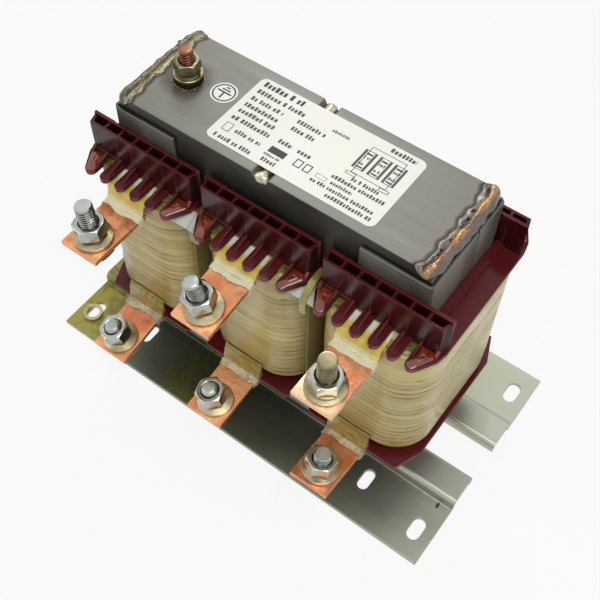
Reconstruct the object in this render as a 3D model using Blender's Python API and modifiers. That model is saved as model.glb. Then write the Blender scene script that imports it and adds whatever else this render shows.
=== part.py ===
# Three phase line reactor: a laminated three limb core on two bent mounting rails,
# three coils wound on moulded formers, and six copper bar terminals at the front.
# X runs along the row of coils, -Y is the terminal side, Z is up from the feet.
# All lengths are metres.

import math

import bmesh
import bpy
from mathutils import Matrix, Vector

# Fit between pieces that touch, and how far a cutter runs past the face it opens
seat_gap = 0.0003
overshoot = 0.0100

# Laminated core
limb_width = 0.030
window_width = 0.030
core_depth = 0.049
yoke_height = 0.030
limb_height = 0.0895
air_gap = 0.0008
yoke_chamfer = 0.0045
groove_width = 0.0082
groove_floor = 0.0050
groove_depth = 0.0032
groove_offset = -0.0025
weld_radius = 0.0034
weld_ripple = 0.0002
weld_end_swell = 0.10
weld_end_spread = 0.0014
weld_pinch = 0.20
weld_pinch_place = -0.45
weld_pinch_length = 0.16
weld_overrun = 0.0008
weld_pitch = 0.0052

# Bent mounting rails
rail_length = 0.221
rail_overall_depth = 0.1195
rail_sheet = 0.0025
rail_height = 0.0090
rail_web_reach = 0.0015
rail_bend_radius = 0.0030
rail_lip_drop = 0.0058
rail_open_gap = 0.0190
outer_slot_length = 0.0120
outer_slot_width = 0.0064
outer_slot_end = 0.0086
outer_slot_edge = 0.0146
inner_slot_length = 0.0114
inner_slot_width = 0.0056
inner_slot_end = 0.0413
inner_slot_edge = 0.0211

# Sheet angles on the corners of the core
angle_sheet = 0.0015
angle_width = 0.0300
angle_top_drop = 0.0053
angle_foot_rise = 0.0010
angle_front_return = 0.0325
angle_back_return = 0.0190

# Coil formers
former_wall = 0.0015
bore_clearance = 0.0004
flange_thickness = 0.0022
flange_side_gap = 0.0020
flange_overhang = 0.0182
flange_chamfer_x = 0.0055
flange_chamfer_y = 0.0135
collar_width = 0.0035
collar_rise = 0.0017
rail_wall = 0.0012
pocket_count = 7
pocket_depth_y = 0.0031
pocket_floor = 0.0040
trough_height = 0.0175
trough_front_drop = 0.0012
trough_side_inset = 0.0007
trough_end_wall = 0.0019
trough_end_slant = 0.0017
divider_wall = 0.0011
finger_pitch = 0.00835
finger_width = 0.0050
finger_reach = 0.0119
corner_finger_width = 0.0052
comb_crown = 0.0002
corner_shoulder_x = 0.0009
corner_shoulder_y = 0.0020
corner_chamfer = 0.0047
rib_width = 0.0010
rib_height = 0.0024
rib_length = 0.0088
rib_bury = 0.0004
corner_rib_length = 0.0074
end_rib_width = 0.0014
end_rib_length = 0.0032
lead_notch_depth = 0.0029

# Film wrapped windings
winding_build = 0.0086
winding_corner = 0.0190
winding_inner_corner = 0.0040
winding_side_inset = 0.0012
winding_front_inset = 0.0029
winding_turns = 12
turn_relief = 0.0005
winding_top_drop = 0.0035
winding_foot_drop = 0.0047
winding_edge_run = 0.0079
winding_end_gap = 0.0007

# Sheets between the coils
barrier_sheet = 0.0008
barrier_flap = 0.0180
barrier_flap_reach = 0.0071
barrier_flap_slope = math.radians(26.0)
barrier_inset = 0.0033
barrier_foot = 0.0040
strip_sheet = 0.0010
strip_bend_radius = 0.0018
upper_strip_width = 0.0030
upper_strip_run = 0.0058
upper_strip_lead = 0.0012
upper_strip_tail = 0.0075
lower_strip_width = 0.0046
lower_strip_tail = 0.0058

# Terminal bars and their insulation
bar_width = 0.0195
bar_sheet = 0.0026
bar_reach = 0.0316
bar_hole = 0.0096
bar_hole_edge = 0.0097
bar_offset = -0.0026
sleeve_wall = 0.0007
sleeve_band = 0.0042
sleeve_pad = 0.0024
upper_sleeve_drop = 0.0054
lower_sleeve_rise = 0.0108
sleeve_drop = 0.0012

# Terminal screws
screw_diameter = 0.0080
screw_head_flats = 0.0130
screw_head_height = 0.0053
screw_tip_bevel = 0.0012
upper_screw_length = 0.0205
lower_screw_length = 0.0135
nut_flats = 0.0130
nut_height = 0.0065
nut_bore = 0.0087
washer_diameter = 0.0175
washer_bore = 0.0098
washer_sheet = 0.0014
washer_dish = 0.0010

# Earth stud on the top yoke
earth_inset = 0.0171
earth_diameter = 0.0060
earth_collar = 0.0122
earth_collar_height = 0.0022
earth_length = 0.0160
earth_nut_flats = 0.0100
earth_nut_height = 0.0050
earth_washer_diameter = 0.0124
earth_washer_height = 0.0010
lock_ring_diameter = 0.0108
lock_ring_height = 0.0016

# Loose ring lying on the front rail
ring_diameter = 0.0106
ring_bore = 0.0070
ring_height = 0.0016
ring_slip = 0.0023

# Heights and reaches that follow from the sizes above
limb_pitch = limb_width + window_width
core_base = rail_height + seat_gap
yoke_top = core_base + yoke_height
limb_top = yoke_top + limb_height
upper_yoke_base = limb_top + air_gap + 2 * seat_gap
core_top = upper_yoke_base + yoke_height
core_half = limb_pitch + limb_width / 2
face = core_depth / 2
bore_x = limb_width / 2 + seat_gap + angle_sheet + bore_clearance
bore_y = face + seat_gap + angle_sheet + bore_clearance
tube_x = bore_x + former_wall
tube_y = bore_y + former_wall
flange_x = (limb_pitch - flange_side_gap) / 2
flange_y = face + flange_overhang
upper_flange_top = upper_yoke_base - seat_gap - collar_rise
upper_flange_base = upper_flange_top - flange_thickness
lower_flange_base = yoke_top + seat_gap
lower_flange_top = lower_flange_base + flange_thickness
former_split = (lower_flange_top + upper_flange_base) / 2
trough_front = bore_y + 2 * rail_wall + pocket_depth_y
trough_half = flange_x - trough_side_inset
pocket_pitch = (2 * (trough_half - trough_end_wall) + divider_wall) / pocket_count
winding_x = flange_x - winding_side_inset
winding_y = flange_y - winding_front_inset
winding_base = lower_flange_top + seat_gap
winding_top = upper_flange_base - winding_end_gap
rail_half_depth = rail_overall_depth / 2
bar_root = winding_y + 2 * seat_gap
front_reach = bar_root + bar_reach
centre_shift = (front_reach - rail_half_depth) / 2

# Name, coil, level, height of the bar over that flange, slope of the bar and lean of the screw
terminals = (
    ("u1", -1, "upper", -0.0108, 0.0, 5.0),
    ("v1", 0, "upper", -0.0078, 7.0, 9.0),
    ("w1", 1, "upper", -0.0099, 0.5, 0.0),
    ("u2", -1, "lower", -0.0002, 11.0, 9.0),
    ("v2", 0, "lower", 0.0008, 7.5, 9.0),
    ("w2", 1, "lower", -0.0014, -6.5, 0.0),
)


def material(name, colour, roughness, metallic=0.0):
    shade = bpy.data.materials.new(name)
    shade.use_nodes = True
    shader = shade.node_tree.nodes["Principled BSDF"]
    shader.inputs["Base Color"].default_value = (*colour, 1.0)
    shader.inputs["Roughness"].default_value = roughness
    shader.inputs["Metallic"].default_value = metallic
    return shade


def move_to(item, collection):
    for holder in list(item.users_collection):
        holder.objects.unlink(item)
    collection.objects.link(item)
    return item


def at(x, y, z):
    return Vector((x, y + centre_shift, z))


def as_cutter(item):
    move_to(item, cutters)
    item.hide_render = True
    item.display_type = "WIRE"
    return item


def as_part(item, name, shade, smooth_angle=None):
    move_to(item, parts)
    item.name = name
    item.data.name = name
    item.data.materials.clear()
    item.data.materials.append(shade)
    if smooth_angle is not None:
        item.data.shade_smooth()
        item.data.set_sharp_from_angle(angle=math.radians(smooth_angle))
    return item


def box(low, high):
    # A cube primitive stretched between two corners, with its scale applied
    low = Vector(low)
    high = Vector(high)
    bpy.ops.mesh.primitive_cube_add(size=1.0)
    item = bpy.context.object
    item.data.transform(Matrix.Diagonal((*(high - low), 1.0)))
    item.location = at(*((low + high) / 2))
    return item


def mesh_copy(item):
    # The evaluated shape as a plain mesh, with loose caps welded
    bpy.context.view_layer.update()
    graph = bpy.context.evaluated_depsgraph_get()
    mesh = bpy.data.meshes.new_from_object(item.evaluated_get(graph))
    shape = bmesh.new()
    shape.from_mesh(mesh)
    bmesh.ops.remove_doubles(shape, verts=shape.verts, dist=0.000001)
    bmesh.ops.recalc_face_normals(shape, faces=shape.faces)
    shape.to_mesh(mesh)
    shape.free()
    return mesh


def take_mesh(item):
    # The mesh of an object that only served to make it
    mesh = mesh_copy(item)
    bpy.data.objects.remove(item)
    return mesh


def as_mesh(item):
    # Turns a curve, or an object with modifiers, into a plain mesh object
    mesh = mesh_copy(item)
    solid = bpy.data.objects.new(item.name, mesh)
    solid.matrix_world = item.matrix_world
    parts.objects.link(solid)
    bpy.data.objects.remove(item)
    return solid


axis_turn = {
    "z": Matrix.Identity(3),
    "y": Matrix(((1, 0, 0), (0, 0, -1), (0, 1, 0))),
    "x": Matrix(((0, 0, 1), (1, 0, 0), (0, 1, 0))),
}


def prism(outlines, low, high, axis):
    # A flat outline, with any holes, pushed along an axis between two stations.
    # Outlines are (x, y) for axis z, (x, z) for axis y and (y, z) for axis x.
    curve = bpy.data.curves.new("outline", "CURVE")
    curve.dimensions = "2D"
    curve.fill_mode = "BOTH"
    curve.extrude = (high - low) / 2
    for outline in outlines:
        spline = curve.splines.new("POLY")
        spline.points.add(len(outline) - 1)
        for point, (u, v) in zip(spline.points, outline):
            point.co = (u, v, 0.0, 1.0)
        spline.use_cyclic_u = True
    item = bpy.data.objects.new("outline", curve)
    parts.objects.link(item)
    middle = (low + high) / 2
    place = {"z": (0, 0, middle), "y": (0, middle, 0), "x": (middle, 0, 0)}[axis]
    item.matrix_world = Matrix.Translation(at(*place)) @ axis_turn[axis].to_4x4()
    return as_mesh(item)


def boolean(target, others, operation):
    for other in others:
        step = target.modifiers.new(operation.lower(), "BOOLEAN")
        step.operation = operation
        step.solver = "EXACT"
        step.object = as_cutter(other)
    return target


def cut(target, others):
    return boolean(target, others, "DIFFERENCE")


def join(target, others):
    return boolean(target, others, "UNION")


def arc(centre, radius, start, end, steps):
    points = []
    for i in range(steps + 1):
        a = math.radians(start + (end - start) * i / steps)
        points.append((centre[0] + radius * math.cos(a), centre[1] + radius * math.sin(a)))
    return points


def slot_outline(x, y, width, length):
    # A slot with round ends that runs along the second axis
    r = width / 2
    reach = length / 2 - r
    return arc((x, y + reach), r, 0, 180, 8) + arc((x, y - reach), r, 180, 360, 8)


def turned(profile, steps=20):
    # A profile of (radius, height) pairs, top to bottom down the outer side, spun round Z
    mesh = bpy.data.meshes.new("turned")
    points = [(r, 0.0, z) for r, z in profile]
    edges = [(i, i + 1) for i in range(len(points) - 1)]
    if profile[0][0] > 0 or profile[-1][0] > 0:
        edges.append((len(points) - 1, 0))
    mesh.from_pydata(points, edges, [])
    item = bpy.data.objects.new("turned", mesh)
    parts.objects.link(item)
    spin = item.modifiers.new("spin", "SCREW")
    spin.steps = steps
    spin.render_steps = steps
    spin.use_merge_vertices = True
    spin.merge_threshold = 0.00001
    spin.use_normal_calculate = True
    return as_mesh(item)


def hexagon(flats, low, high):
    # A six sided prism between two heights, flats facing Y
    bpy.ops.mesh.primitive_cylinder_add(vertices=6, radius=flats / math.sqrt(3), depth=high - low)
    item = bpy.context.object
    item.data.transform(Matrix.Translation((0, 0, (low + high) / 2)))
    return item


def clear_scene():
    for item in list(bpy.data.objects):
        bpy.data.objects.remove(item)


clear_scene()
parts = bpy.data.collections.new("line_reactor")
cutters = bpy.data.collections.new("line_reactor_cutters")
bpy.context.scene.collection.children.link(parts)
bpy.context.scene.collection.children.link(cutters)

steel_sheet = material("core_steel", (0.21, 0.21, 0.18), 0.45, 0.8)
air_gap_board = material("air_gap_board", (0.75, 0.70, 0.55), 0.7)
weld_metal = material("weld_metal", (0.42, 0.31, 0.16), 0.35, 0.9)
angle_steel = material("angle_steel", (0.085, 0.08, 0.06), 0.5, 0.6)
zinc_sheet = material("zinc_sheet", (0.36, 0.38, 0.30), 0.38, 0.85)
former_plastic = material("former_plastic", (0.12, 0.018, 0.022), 0.42)
film_wire = material("film_wire", (0.42, 0.36, 0.17), 0.4)
barrier_paper = material("barrier_paper", (0.72, 0.74, 0.66), 0.8)
strip_glass = material("strip_glass", (0.33, 0.30, 0.08), 0.5)
copper = material("copper", (0.62, 0.25, 0.12), 0.32, 0.9)
sleeve_tape = material("sleeve_tape", (0.86, 0.80, 0.44), 0.75)
zinc_bolt = material("zinc_bolt", (0.58, 0.60, 0.58), 0.25, 1.0)
washer_zinc = material("washer_zinc", (0.52, 0.45, 0.30), 0.3, 1.0)
stud_copper = material("stud_copper", (0.35, 0.13, 0.09), 0.4, 0.9)


def make_core():
    # Bottom yoke and three limbs, cut as one E in the XZ plane
    outline = [(-core_half, core_base), (core_half, core_base)]
    for coil in (1, 0, -1):
        centre = coil * limb_pitch
        outline += [(centre + limb_width / 2, limb_top), (centre - limb_width / 2, limb_top)]
        if coil > -1:
            outline += [(centre - limb_width / 2, yoke_top)]
            outline += [(centre - limb_pitch + limb_width / 2, yoke_top)]
    as_part(prism([outline], -face, face, "y"), "core_e_stack", steel_sheet)

    # Air gap boards between limb tops and the upper yoke
    for number, coil in enumerate((-1, 0, 1), 1):
        centre = coil * limb_pitch
        low = (centre - limb_width / 2, -face, limb_top + seat_gap)
        high = (centre + limb_width / 2, face, limb_top + seat_gap + air_gap)
        as_part(box(low, high), "air_gap_board_%d" % number, air_gap_board)

    # Upper yoke, chamfered at both ends for the welds, with a welded groove across its middle
    floor = core_top - groove_depth
    outline = [
        (-core_half, upper_yoke_base),
        (core_half, upper_yoke_base),
        (core_half, core_top - yoke_chamfer),
        (core_half - yoke_chamfer, core_top),
        (groove_offset + groove_width / 2, core_top),
        (groove_offset + groove_floor / 2, floor),
        (groove_offset + groove_floor / 4, floor + groove_depth / 2),
        (groove_offset - groove_floor / 4, floor + groove_depth / 2),
        (groove_offset - groove_floor / 2, floor),
        (groove_offset - groove_width / 2, core_top),
        (-core_half + yoke_chamfer, core_top),
        (-core_half, core_top - yoke_chamfer),
    ]
    as_part(prism([outline], -face, face, "y"), "core_top_yoke", steel_sheet)


def make_welds():
    # A bead of weld metal lies on each end chamfer, over the full depth of the stack.
    # It spreads over the corners and is pinched where the second run starts.
    for name, side in (("weld_left", -1), ("weld_right", 1)):
        middle_x = core_half - yoke_chamfer / 2
        middle_z = core_top - yoke_chamfer / 2
        curve = bpy.data.curves.new(name, "CURVE")
        curve.dimensions = "3D"
        curve.bevel_depth = weld_radius
        curve.bevel_resolution = 2
        curve.use_fill_caps = True
        spline = curve.splines.new("POLY")
        reach = face + weld_overrun
        steps = 2 * round(2 * reach / weld_pitch)
        spline.points.add(steps)
        for i, point in enumerate(spline.points):
            share = 2 * i / steps - 1
            spread = abs(share) ** 3
            pinch = weld_pinch * math.exp(-(((share - weld_pinch_place) / weld_pinch_length) ** 2))
            ripple = weld_ripple / weld_radius * math.cos(math.pi * i)
            x = middle_x - weld_end_spread * spread
            point.co = (side * x, share * reach, middle_z, 1.0)
            point.radius = 1.0 + weld_end_swell * spread - pinch + ripple
        item = bpy.data.objects.new(name, curve)
        parts.objects.link(item)
        item.location = at(0, 0, 0)
        bead = as_mesh(item)
        shelf = seat_gap * math.sqrt(2)
        edge = core_half - yoke_chamfer
        keep_out = [
            (side * (edge + shelf), core_top),
            (side * edge, core_top + seat_gap),
            (side * (edge - 2 * weld_radius), core_top + seat_gap),
            (side * (edge - 2 * weld_radius), core_top - 4 * weld_radius),
            (side * (core_half + seat_gap), core_top - 4 * weld_radius),
            (side * (core_half + seat_gap), core_top - yoke_chamfer + shelf - seat_gap),
        ]
        cut(bead, [prism([keep_out], -2 * reach, 2 * reach, "y")])
        as_part(bead, name, weld_metal, 50)


def bent_strip(points, sheet, radius, steps):
    # Outline of a bent sheet: a path along its middle, rounded at the bends, offset both ways
    path = [Vector(points[0])]
    for before, corner, after in zip(points, points[1:], points[2:]):
        before, corner, after = Vector(before), Vector(corner), Vector(after)
        inward = (before - corner).normalized()
        outward = (after - corner).normalized()
        half = inward.angle(outward) / 2
        trim = radius / math.tan(half)
        centre = corner + (inward + outward).normalized() * radius / math.sin(half)
        start = corner + inward * trim - centre
        sweep = start.angle_signed(corner + outward * trim - centre)
        for i in range(steps + 1):
            turn = Matrix.Rotation(-sweep * i / steps, 2)
            path.append(centre + turn @ start)
    path.append(Vector(points[-1]))
    left, right = [], []
    for i, point in enumerate(path):
        ahead = path[min(i + 1, len(path) - 1)] - path[max(i - 1, 0)]
        normal = Vector((-ahead.y, ahead.x)).normalized() * sheet / 2
        left.append(tuple(point + normal))
        right.append(tuple(point - normal))
    return left + right[::-1]


def make_rails():
    # Each rail is one sheet: a slotted foot, a short web, a shelf under the core and a turned lip
    web = face + rail_web_reach
    half_sheet = rail_sheet / 2
    shelf_z = rail_height - half_sheet
    lip = rail_open_gap / 2 + half_sheet
    for name, side in (("rail_front", -1), ("rail_back", 1)):
        points = [
            (side * rail_half_depth, half_sheet),
            (side * web, half_sheet),
            (side * web, shelf_z),
            (side * lip, shelf_z),
            (side * lip, rail_height - rail_lip_drop),
        ]
        outline = bent_strip(points, rail_sheet, rail_bend_radius - half_sheet + 0.0002, 4)
        rail = prism([outline], -rail_length / 2, rail_length / 2, "x")
        holes = []
        for end in (-1, 1):
            for inset, edge, width, length in (
                (outer_slot_end, outer_slot_edge, outer_slot_width, outer_slot_length),
                (inner_slot_end, inner_slot_edge, inner_slot_width, inner_slot_length),
            ):
                x = end * (rail_length / 2 - inset)
                shape = slot_outline(x, side * (rail_half_depth - edge), width, length)
                holes.append(prism([shape], -rail_sheet, 2 * rail_sheet, "z"))
        cut(rail, holes)
        as_part(rail, name, zinc_sheet, 40)


def make_angles():
    # Sheet angles hug the four corners of the core, from just above the rails to below the welds
    low = rail_height + angle_foot_rise
    high = core_top - angle_top_drop
    inside = seat_gap
    outside = seat_gap + angle_sheet
    for name, end, side, back in (
        ("angle_front_left", -1, -1, angle_front_return),
        ("angle_front_right", 1, -1, angle_front_return),
        ("angle_back_left", -1, 1, angle_back_return),
        ("angle_back_right", 1, 1, angle_back_return),
    ):
        inner_x = core_half - angle_width
        outline = [
            (end * inner_x, side * (face + inside)),
            (end * inner_x, side * (face + outside)),
            (end * (core_half + inside), side * (face + outside)),
            (end * (core_half + outside), side * (face + inside)),
            (end * (core_half + outside), side * (face + outside - back)),
            (end * (core_half + inside), side * (face + outside - back)),
            (end * (core_half + inside), side * (face + inside)),
        ]
        as_part(prism([outline], low, high, "z"), name, angle_steel)


def comb_edge():
    # One side of the upper flange, from +X round to -X over the comb of fingers. The roots of the
    # fingers lie under the trough wall, on a shallow arc.
    def root(x):
        return (x, trough_front - rail_wall / 2 - comb_crown * (1 - (x / flange_x) ** 2))

    shoulder = (flange_x - corner_shoulder_x, trough_front + corner_shoulder_y)
    tip = trough_front + finger_reach
    x = 2.5 * finger_pitch
    r = corner_finger_width / 2
    right = [(flange_x, shoulder[1] - corner_chamfer), shoulder]
    right += arc((x, tip - r), r, 30, 180, 5) + [root(x - r)]
    r = finger_width / 2
    for x in (1.5 * finger_pitch, 0.5 * finger_pitch):
        right += [root(x + r)] + arc((x, tip - r), r, 0, 180, 5) + [root(x - r)]
    return right + [(-x, y) for x, y in reversed(right)]


def rib(x, width, length, side):
    # A thin web on a finger: it leaves the trough wall and falls to nothing near the tip
    low = upper_flange_top - rib_bury
    back = trough_front - rib_bury
    outline = [
        (side * back, low),
        (side * (trough_front + length * (rib_height + rib_bury) / rib_height), low),
        (side * trough_front, upper_flange_top + rib_height),
        (side * back, upper_flange_top + rib_height),
    ]
    return prism([outline], x - width / 2, x + width / 2, "x")


def pocket_row(side):
    # The row of pockets in a trough; the outer side of each end pocket leans with the end wall
    near = bore_y + rail_wall
    far = near + pocket_depth_y
    lean = trough_end_slant * pocket_depth_y / (trough_front - bore_y + seat_gap)
    last = pocket_count - 1
    outlines = []
    for i in range(pocket_count):
        x = (i - last / 2) * pocket_pitch
        low = x - (pocket_pitch - divider_wall) / 2
        high = x + (pocket_pitch - divider_wall) / 2
        outlines.append([
            (low, side * near),
            (high, side * near),
            (high - (lean if i == last else 0.0), side * far),
            (low + (lean if i == 0 else 0.0), side * far),
        ])
    return prism(outlines, upper_flange_top + pocket_floor, core_top, "z")


def make_formers():
    # Upper half: flange with its combs, pocket troughs front and back, ribs, collar and winding tube
    edge = comb_edge()
    plate = edge + [(-x, -y) for x, y in edge]
    upper = prism([plate], upper_flange_base, upper_flange_top, "z")
    tube_low = (-tube_x, -tube_y, former_split + seat_gap / 2)
    tube_high = (tube_x, tube_y, upper_flange_top - flange_thickness / 2)
    collar_low = (-bore_x - collar_width, -bore_y - rail_wall / 2, upper_flange_base + flange_thickness / 2)
    collar_high = (bore_x + collar_width, bore_y + rail_wall / 2, upper_flange_top + collar_rise)
    joined = [box(tube_low, tube_high), box(collar_low, collar_high)]
    cuts = [box((-bore_x, -bore_y, former_split - overshoot), (bore_x, bore_y, core_top))]
    trough_top = upper_flange_top + trough_height
    for side in (-1, 1):
        outline = [
            (-trough_half, side * (bore_y - seat_gap)),
            (trough_half, side * (bore_y - seat_gap)),
            (trough_half - trough_end_slant, side * trough_front),
            (-trough_half + trough_end_slant, side * trough_front),
        ]
        joined.append(prism([outline], upper_flange_base + flange_thickness / 2, trough_top, "z"))
        cuts.append(pocket_row(side))
        ys = sorted((side * (bore_y + rail_wall), side * (trough_front + overshoot)))
        step_low = (-flange_x, ys[0], trough_top - trough_front_drop)
        cuts.append(box(step_low, (flange_x, ys[1], core_top + overshoot)))
        for end in (-1, 1):
            for place in (0.5, 1.5):
                joined.append(rib(end * place * pocket_pitch, rib_width, rib_length, side))
            joined.append(rib(end * 2.5 * pocket_pitch, rib_width, corner_rib_length, side))
            end_rib = end * (trough_half - trough_end_slant)
            joined.append(rib(end_rib, end_rib_width, end_rib_length, side))
    join(upper, joined)
    cut(upper, cuts)
    upper_mesh = take_mesh(upper)

    # Lower half: a plain flange with cut corners, a notch for the lead, and its winding tube
    notch_left = bar_offset - bar_width / 2 - sleeve_wall - 2 * seat_gap
    notch_right = bar_offset + bar_width / 2 + sleeve_wall + 2 * seat_gap
    plate = [
        (flange_x, -flange_y + flange_chamfer_y),
        (flange_x, flange_y - flange_chamfer_y),
        (flange_x - flange_chamfer_x, flange_y),
        (-flange_x + flange_chamfer_x, flange_y),
        (-flange_x, flange_y - flange_chamfer_y),
        (-flange_x, -flange_y + flange_chamfer_y),
        (-flange_x + flange_chamfer_x, -flange_y),
        (notch_left, -flange_y),
        (notch_left, -flange_y + lead_notch_depth),
        (notch_right, -flange_y + lead_notch_depth),
        (notch_right, -flange_y),
        (flange_x - flange_chamfer_x, -flange_y),
    ]
    lower = prism([plate], lower_flange_base, lower_flange_top, "z")
    tube_low = (-tube_x, -tube_y, lower_flange_base + flange_thickness / 2)
    join(lower, [box(tube_low, (tube_x, tube_y, former_split - seat_gap / 2))])
    cut(lower, [box((-bore_x, -bore_y, core_base), (bore_x, bore_y, former_split + overshoot))])
    lower_mesh = take_mesh(lower)

    for number, coil in enumerate((-1, 0, 1), 1):
        for name, mesh in (("former_upper", upper_mesh), ("former_lower", lower_mesh)):
            item = bpy.data.objects.new("%s_%d" % (name, number), mesh)
            parts.objects.link(item)
            middle = former_middle[name]
            item.location = at(coil * limb_pitch, 0, middle)
            as_part(item, "%s_%d" % (name, number), former_plastic)


# Where each former half was modelled along Z, so that its copies keep that height
former_middle = {
    "former_upper": (upper_flange_base + upper_flange_top) / 2,
    "former_lower": (lower_flange_base + lower_flange_top) / 2,
}


def rounded_rectangle(x, y, r, steps=5):
    # Half sizes and corner radius, counter-clockwise from +X
    outline = []
    for sx, sy, start in ((1, 1, 0), (-1, 1, 90), (-1, -1, 180), (1, -1, 270)):
        outline += arc((sx * (x - r), sy * (y - r)), r, start, start + 90, steps)
    return outline


def loft(loops):
    # A closed tube of quads through a cycle of outlines, each with its own height
    shape = bmesh.new()
    rings = [[shape.verts.new((x, y, z)) for x, y in outline] for outline, z in loops]
    count = len(rings[0])
    for ring, following in zip(rings, rings[1:] + rings[:1]):
        for i in range(count):
            j = (i + 1) % count
            shape.faces.new((ring[i], ring[j], following[j], following[i]))
    bmesh.ops.recalc_face_normals(shape, faces=shape.faces)
    mesh = bpy.data.meshes.new("loft")
    shape.to_mesh(mesh)
    shape.free()
    return mesh


def make_windings():
    # Outlines of the coil from the bottom up: a stepped edge, the ridged turns, a stepped edge
    def outer(inset, radius):
        return rounded_rectangle(winding_x - inset, winding_y - inset, radius)

    edge_radius = winding_inner_corner + winding_build - winding_edge_run
    valley_radius = winding_corner - turn_relief
    height = winding_top - winding_base
    foot = winding_foot_drop - height / 2
    straight = height - winding_top_drop - winding_foot_drop
    turn = straight / winding_turns
    loops = [(outer(winding_edge_run, edge_radius), -height / 2)]
    for i in range(winding_turns):
        z = foot + turn * i
        loops.append((outer(turn_relief, valley_radius), z))
        loops.append((outer(0.0, winding_corner), z + turn / 2))
    loops.append((outer(turn_relief, valley_radius), foot + straight))
    loops.append((outer(winding_edge_run, edge_radius), height / 2))
    bore = rounded_rectangle(winding_x - winding_build, winding_y - winding_build, winding_inner_corner)
    loops.append((bore, height / 2))
    loops.append((bore, -height / 2))
    mesh = loft(loops)
    for number, coil in enumerate((-1, 0, 1), 1):
        item = bpy.data.objects.new("winding_%d" % number, mesh)
        item.location = at(coil * limb_pitch, 0, (winding_base + winding_top) / 2)
        as_part(item, "winding_%d" % number, film_wire, 60)


def make_barriers():
    # Between neighbouring coils: an upright sheet whose top folds out into a sloping flap that
    # lies just under the corner fingers
    root = trough_front
    slope = math.tan(barrier_flap_slope)
    upright = 1 / math.cos(barrier_flap_slope)
    flap_end = root + barrier_flap_reach

    def flap_top(y):
        return upper_flange_base - seat_gap - slope * (y - root)

    def flap_bottom(y):
        return flap_top(y) - barrier_sheet * upright

    def flap_middle(y):
        return (flap_top(y) + flap_bottom(y)) / 2

    shoulder = winding_top - winding_top_drop
    foot = winding_base + barrier_foot
    web_front = flap_end - barrier_inset
    web = [
        (face, foot),
        (face, shoulder),
        (-bore_y, shoulder),
        (-root, flap_middle(root)),
        (-web_front, flap_middle(web_front)),
        (-web_front, foot),
    ]
    flap = [
        (-root, flap_top(root)),
        (-flap_end, flap_top(flap_end)),
        (-flap_end, flap_bottom(flap_end)),
        (-root, flap_bottom(root)),
    ]
    half = barrier_sheet / 2
    for number, x in enumerate((-limb_pitch / 2, limb_pitch / 2), 1):
        sheet = prism([web], x - half, x + half, "x")
        join(sheet, [prism([flap], x - barrier_flap / 2, x + barrier_flap / 2, "x")])
        as_part(sheet, "barrier_%d" % number, barrier_paper)

    # The left strip comes out from under its flap and hangs down beyond it
    hang = flap_end + seat_gap - strip_sheet / 2
    under = seat_gap + strip_sheet / 2
    start = root + strip_sheet
    points = [
        (-start, flap_bottom(start) - under * upright),
        (-hang + strip_sheet / 2, flap_bottom(hang) - under * upright),
        (-hang + strip_sheet / 2, flap_bottom(hang) - under * upright - lower_strip_tail),
    ]
    outline = bent_strip(points, strip_sheet, strip_bend_radius, 4)
    half = lower_strip_width / 2
    x = -limb_pitch / 2 + barrier_sheet / 2 + seat_gap + half
    as_part(prism([outline], x - half, x + half, "x"), "strip_1", strip_glass)

    # The right strip lies across both flanges, passes over its flap and hangs down beyond it
    level = upper_flange_top + seat_gap + strip_sheet / 2
    hang = flap_end + seat_gap + strip_sheet / 2
    bend = flap_top(hang) + under * upright
    points = [
        (-root + upper_strip_run, level),
        (-root - upper_strip_lead, level),
        (-hang, bend),
        (-hang, bend - upper_strip_tail),
    ]
    outline = bent_strip(points, strip_sheet, strip_bend_radius, 4)
    x = limb_pitch / 2
    half = upper_strip_width / 2
    as_part(prism([outline], x - half, x + half, "x"), "strip_2", strip_glass)


def sleeve(place, slope, rise):
    # Insulation at the root of a bar: an upright pad on the coil and a band that follows the bar
    def on_bar(y, z):
        return (y * math.cos(slope) - z * math.sin(slope), y * math.sin(slope) + z * math.cos(slope))

    def where_band_meets_pad(z):
        along = (z * math.sin(slope) - sleeve_pad) / math.cos(slope)
        return (-sleeve_pad, on_bar(along, z)[1])

    over = sleeve_wall + seat_gap
    under = -bar_sheet - over
    outline = [
        (seat_gap, under - sleeve_drop),
        (seat_gap, rise),
        (sleeve_wall - sleeve_pad, rise),
        (-sleeve_pad, rise - sleeve_wall),
        where_band_meets_pad(over),
        on_bar(-sleeve_pad - sleeve_band, over),
        on_bar(-sleeve_pad - sleeve_band, under),
        where_band_meets_pad(under),
        (-sleeve_pad, under - sleeve_drop),
    ]
    half = bar_width / 2 + sleeve_wall + seat_gap
    item = prism([outline], -half, half, "x")
    through = [
        on_bar(-2 * overshoot, -bar_sheet - seat_gap),
        on_bar(-2 * overshoot, seat_gap),
        on_bar(overshoot, seat_gap),
        on_bar(overshoot, -bar_sheet - seat_gap),
    ]
    half = bar_width / 2 + seat_gap
    cut(item, [prism([through], -half, half, "x")])
    item = as_mesh(item)
    item.location = place
    return item


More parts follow.
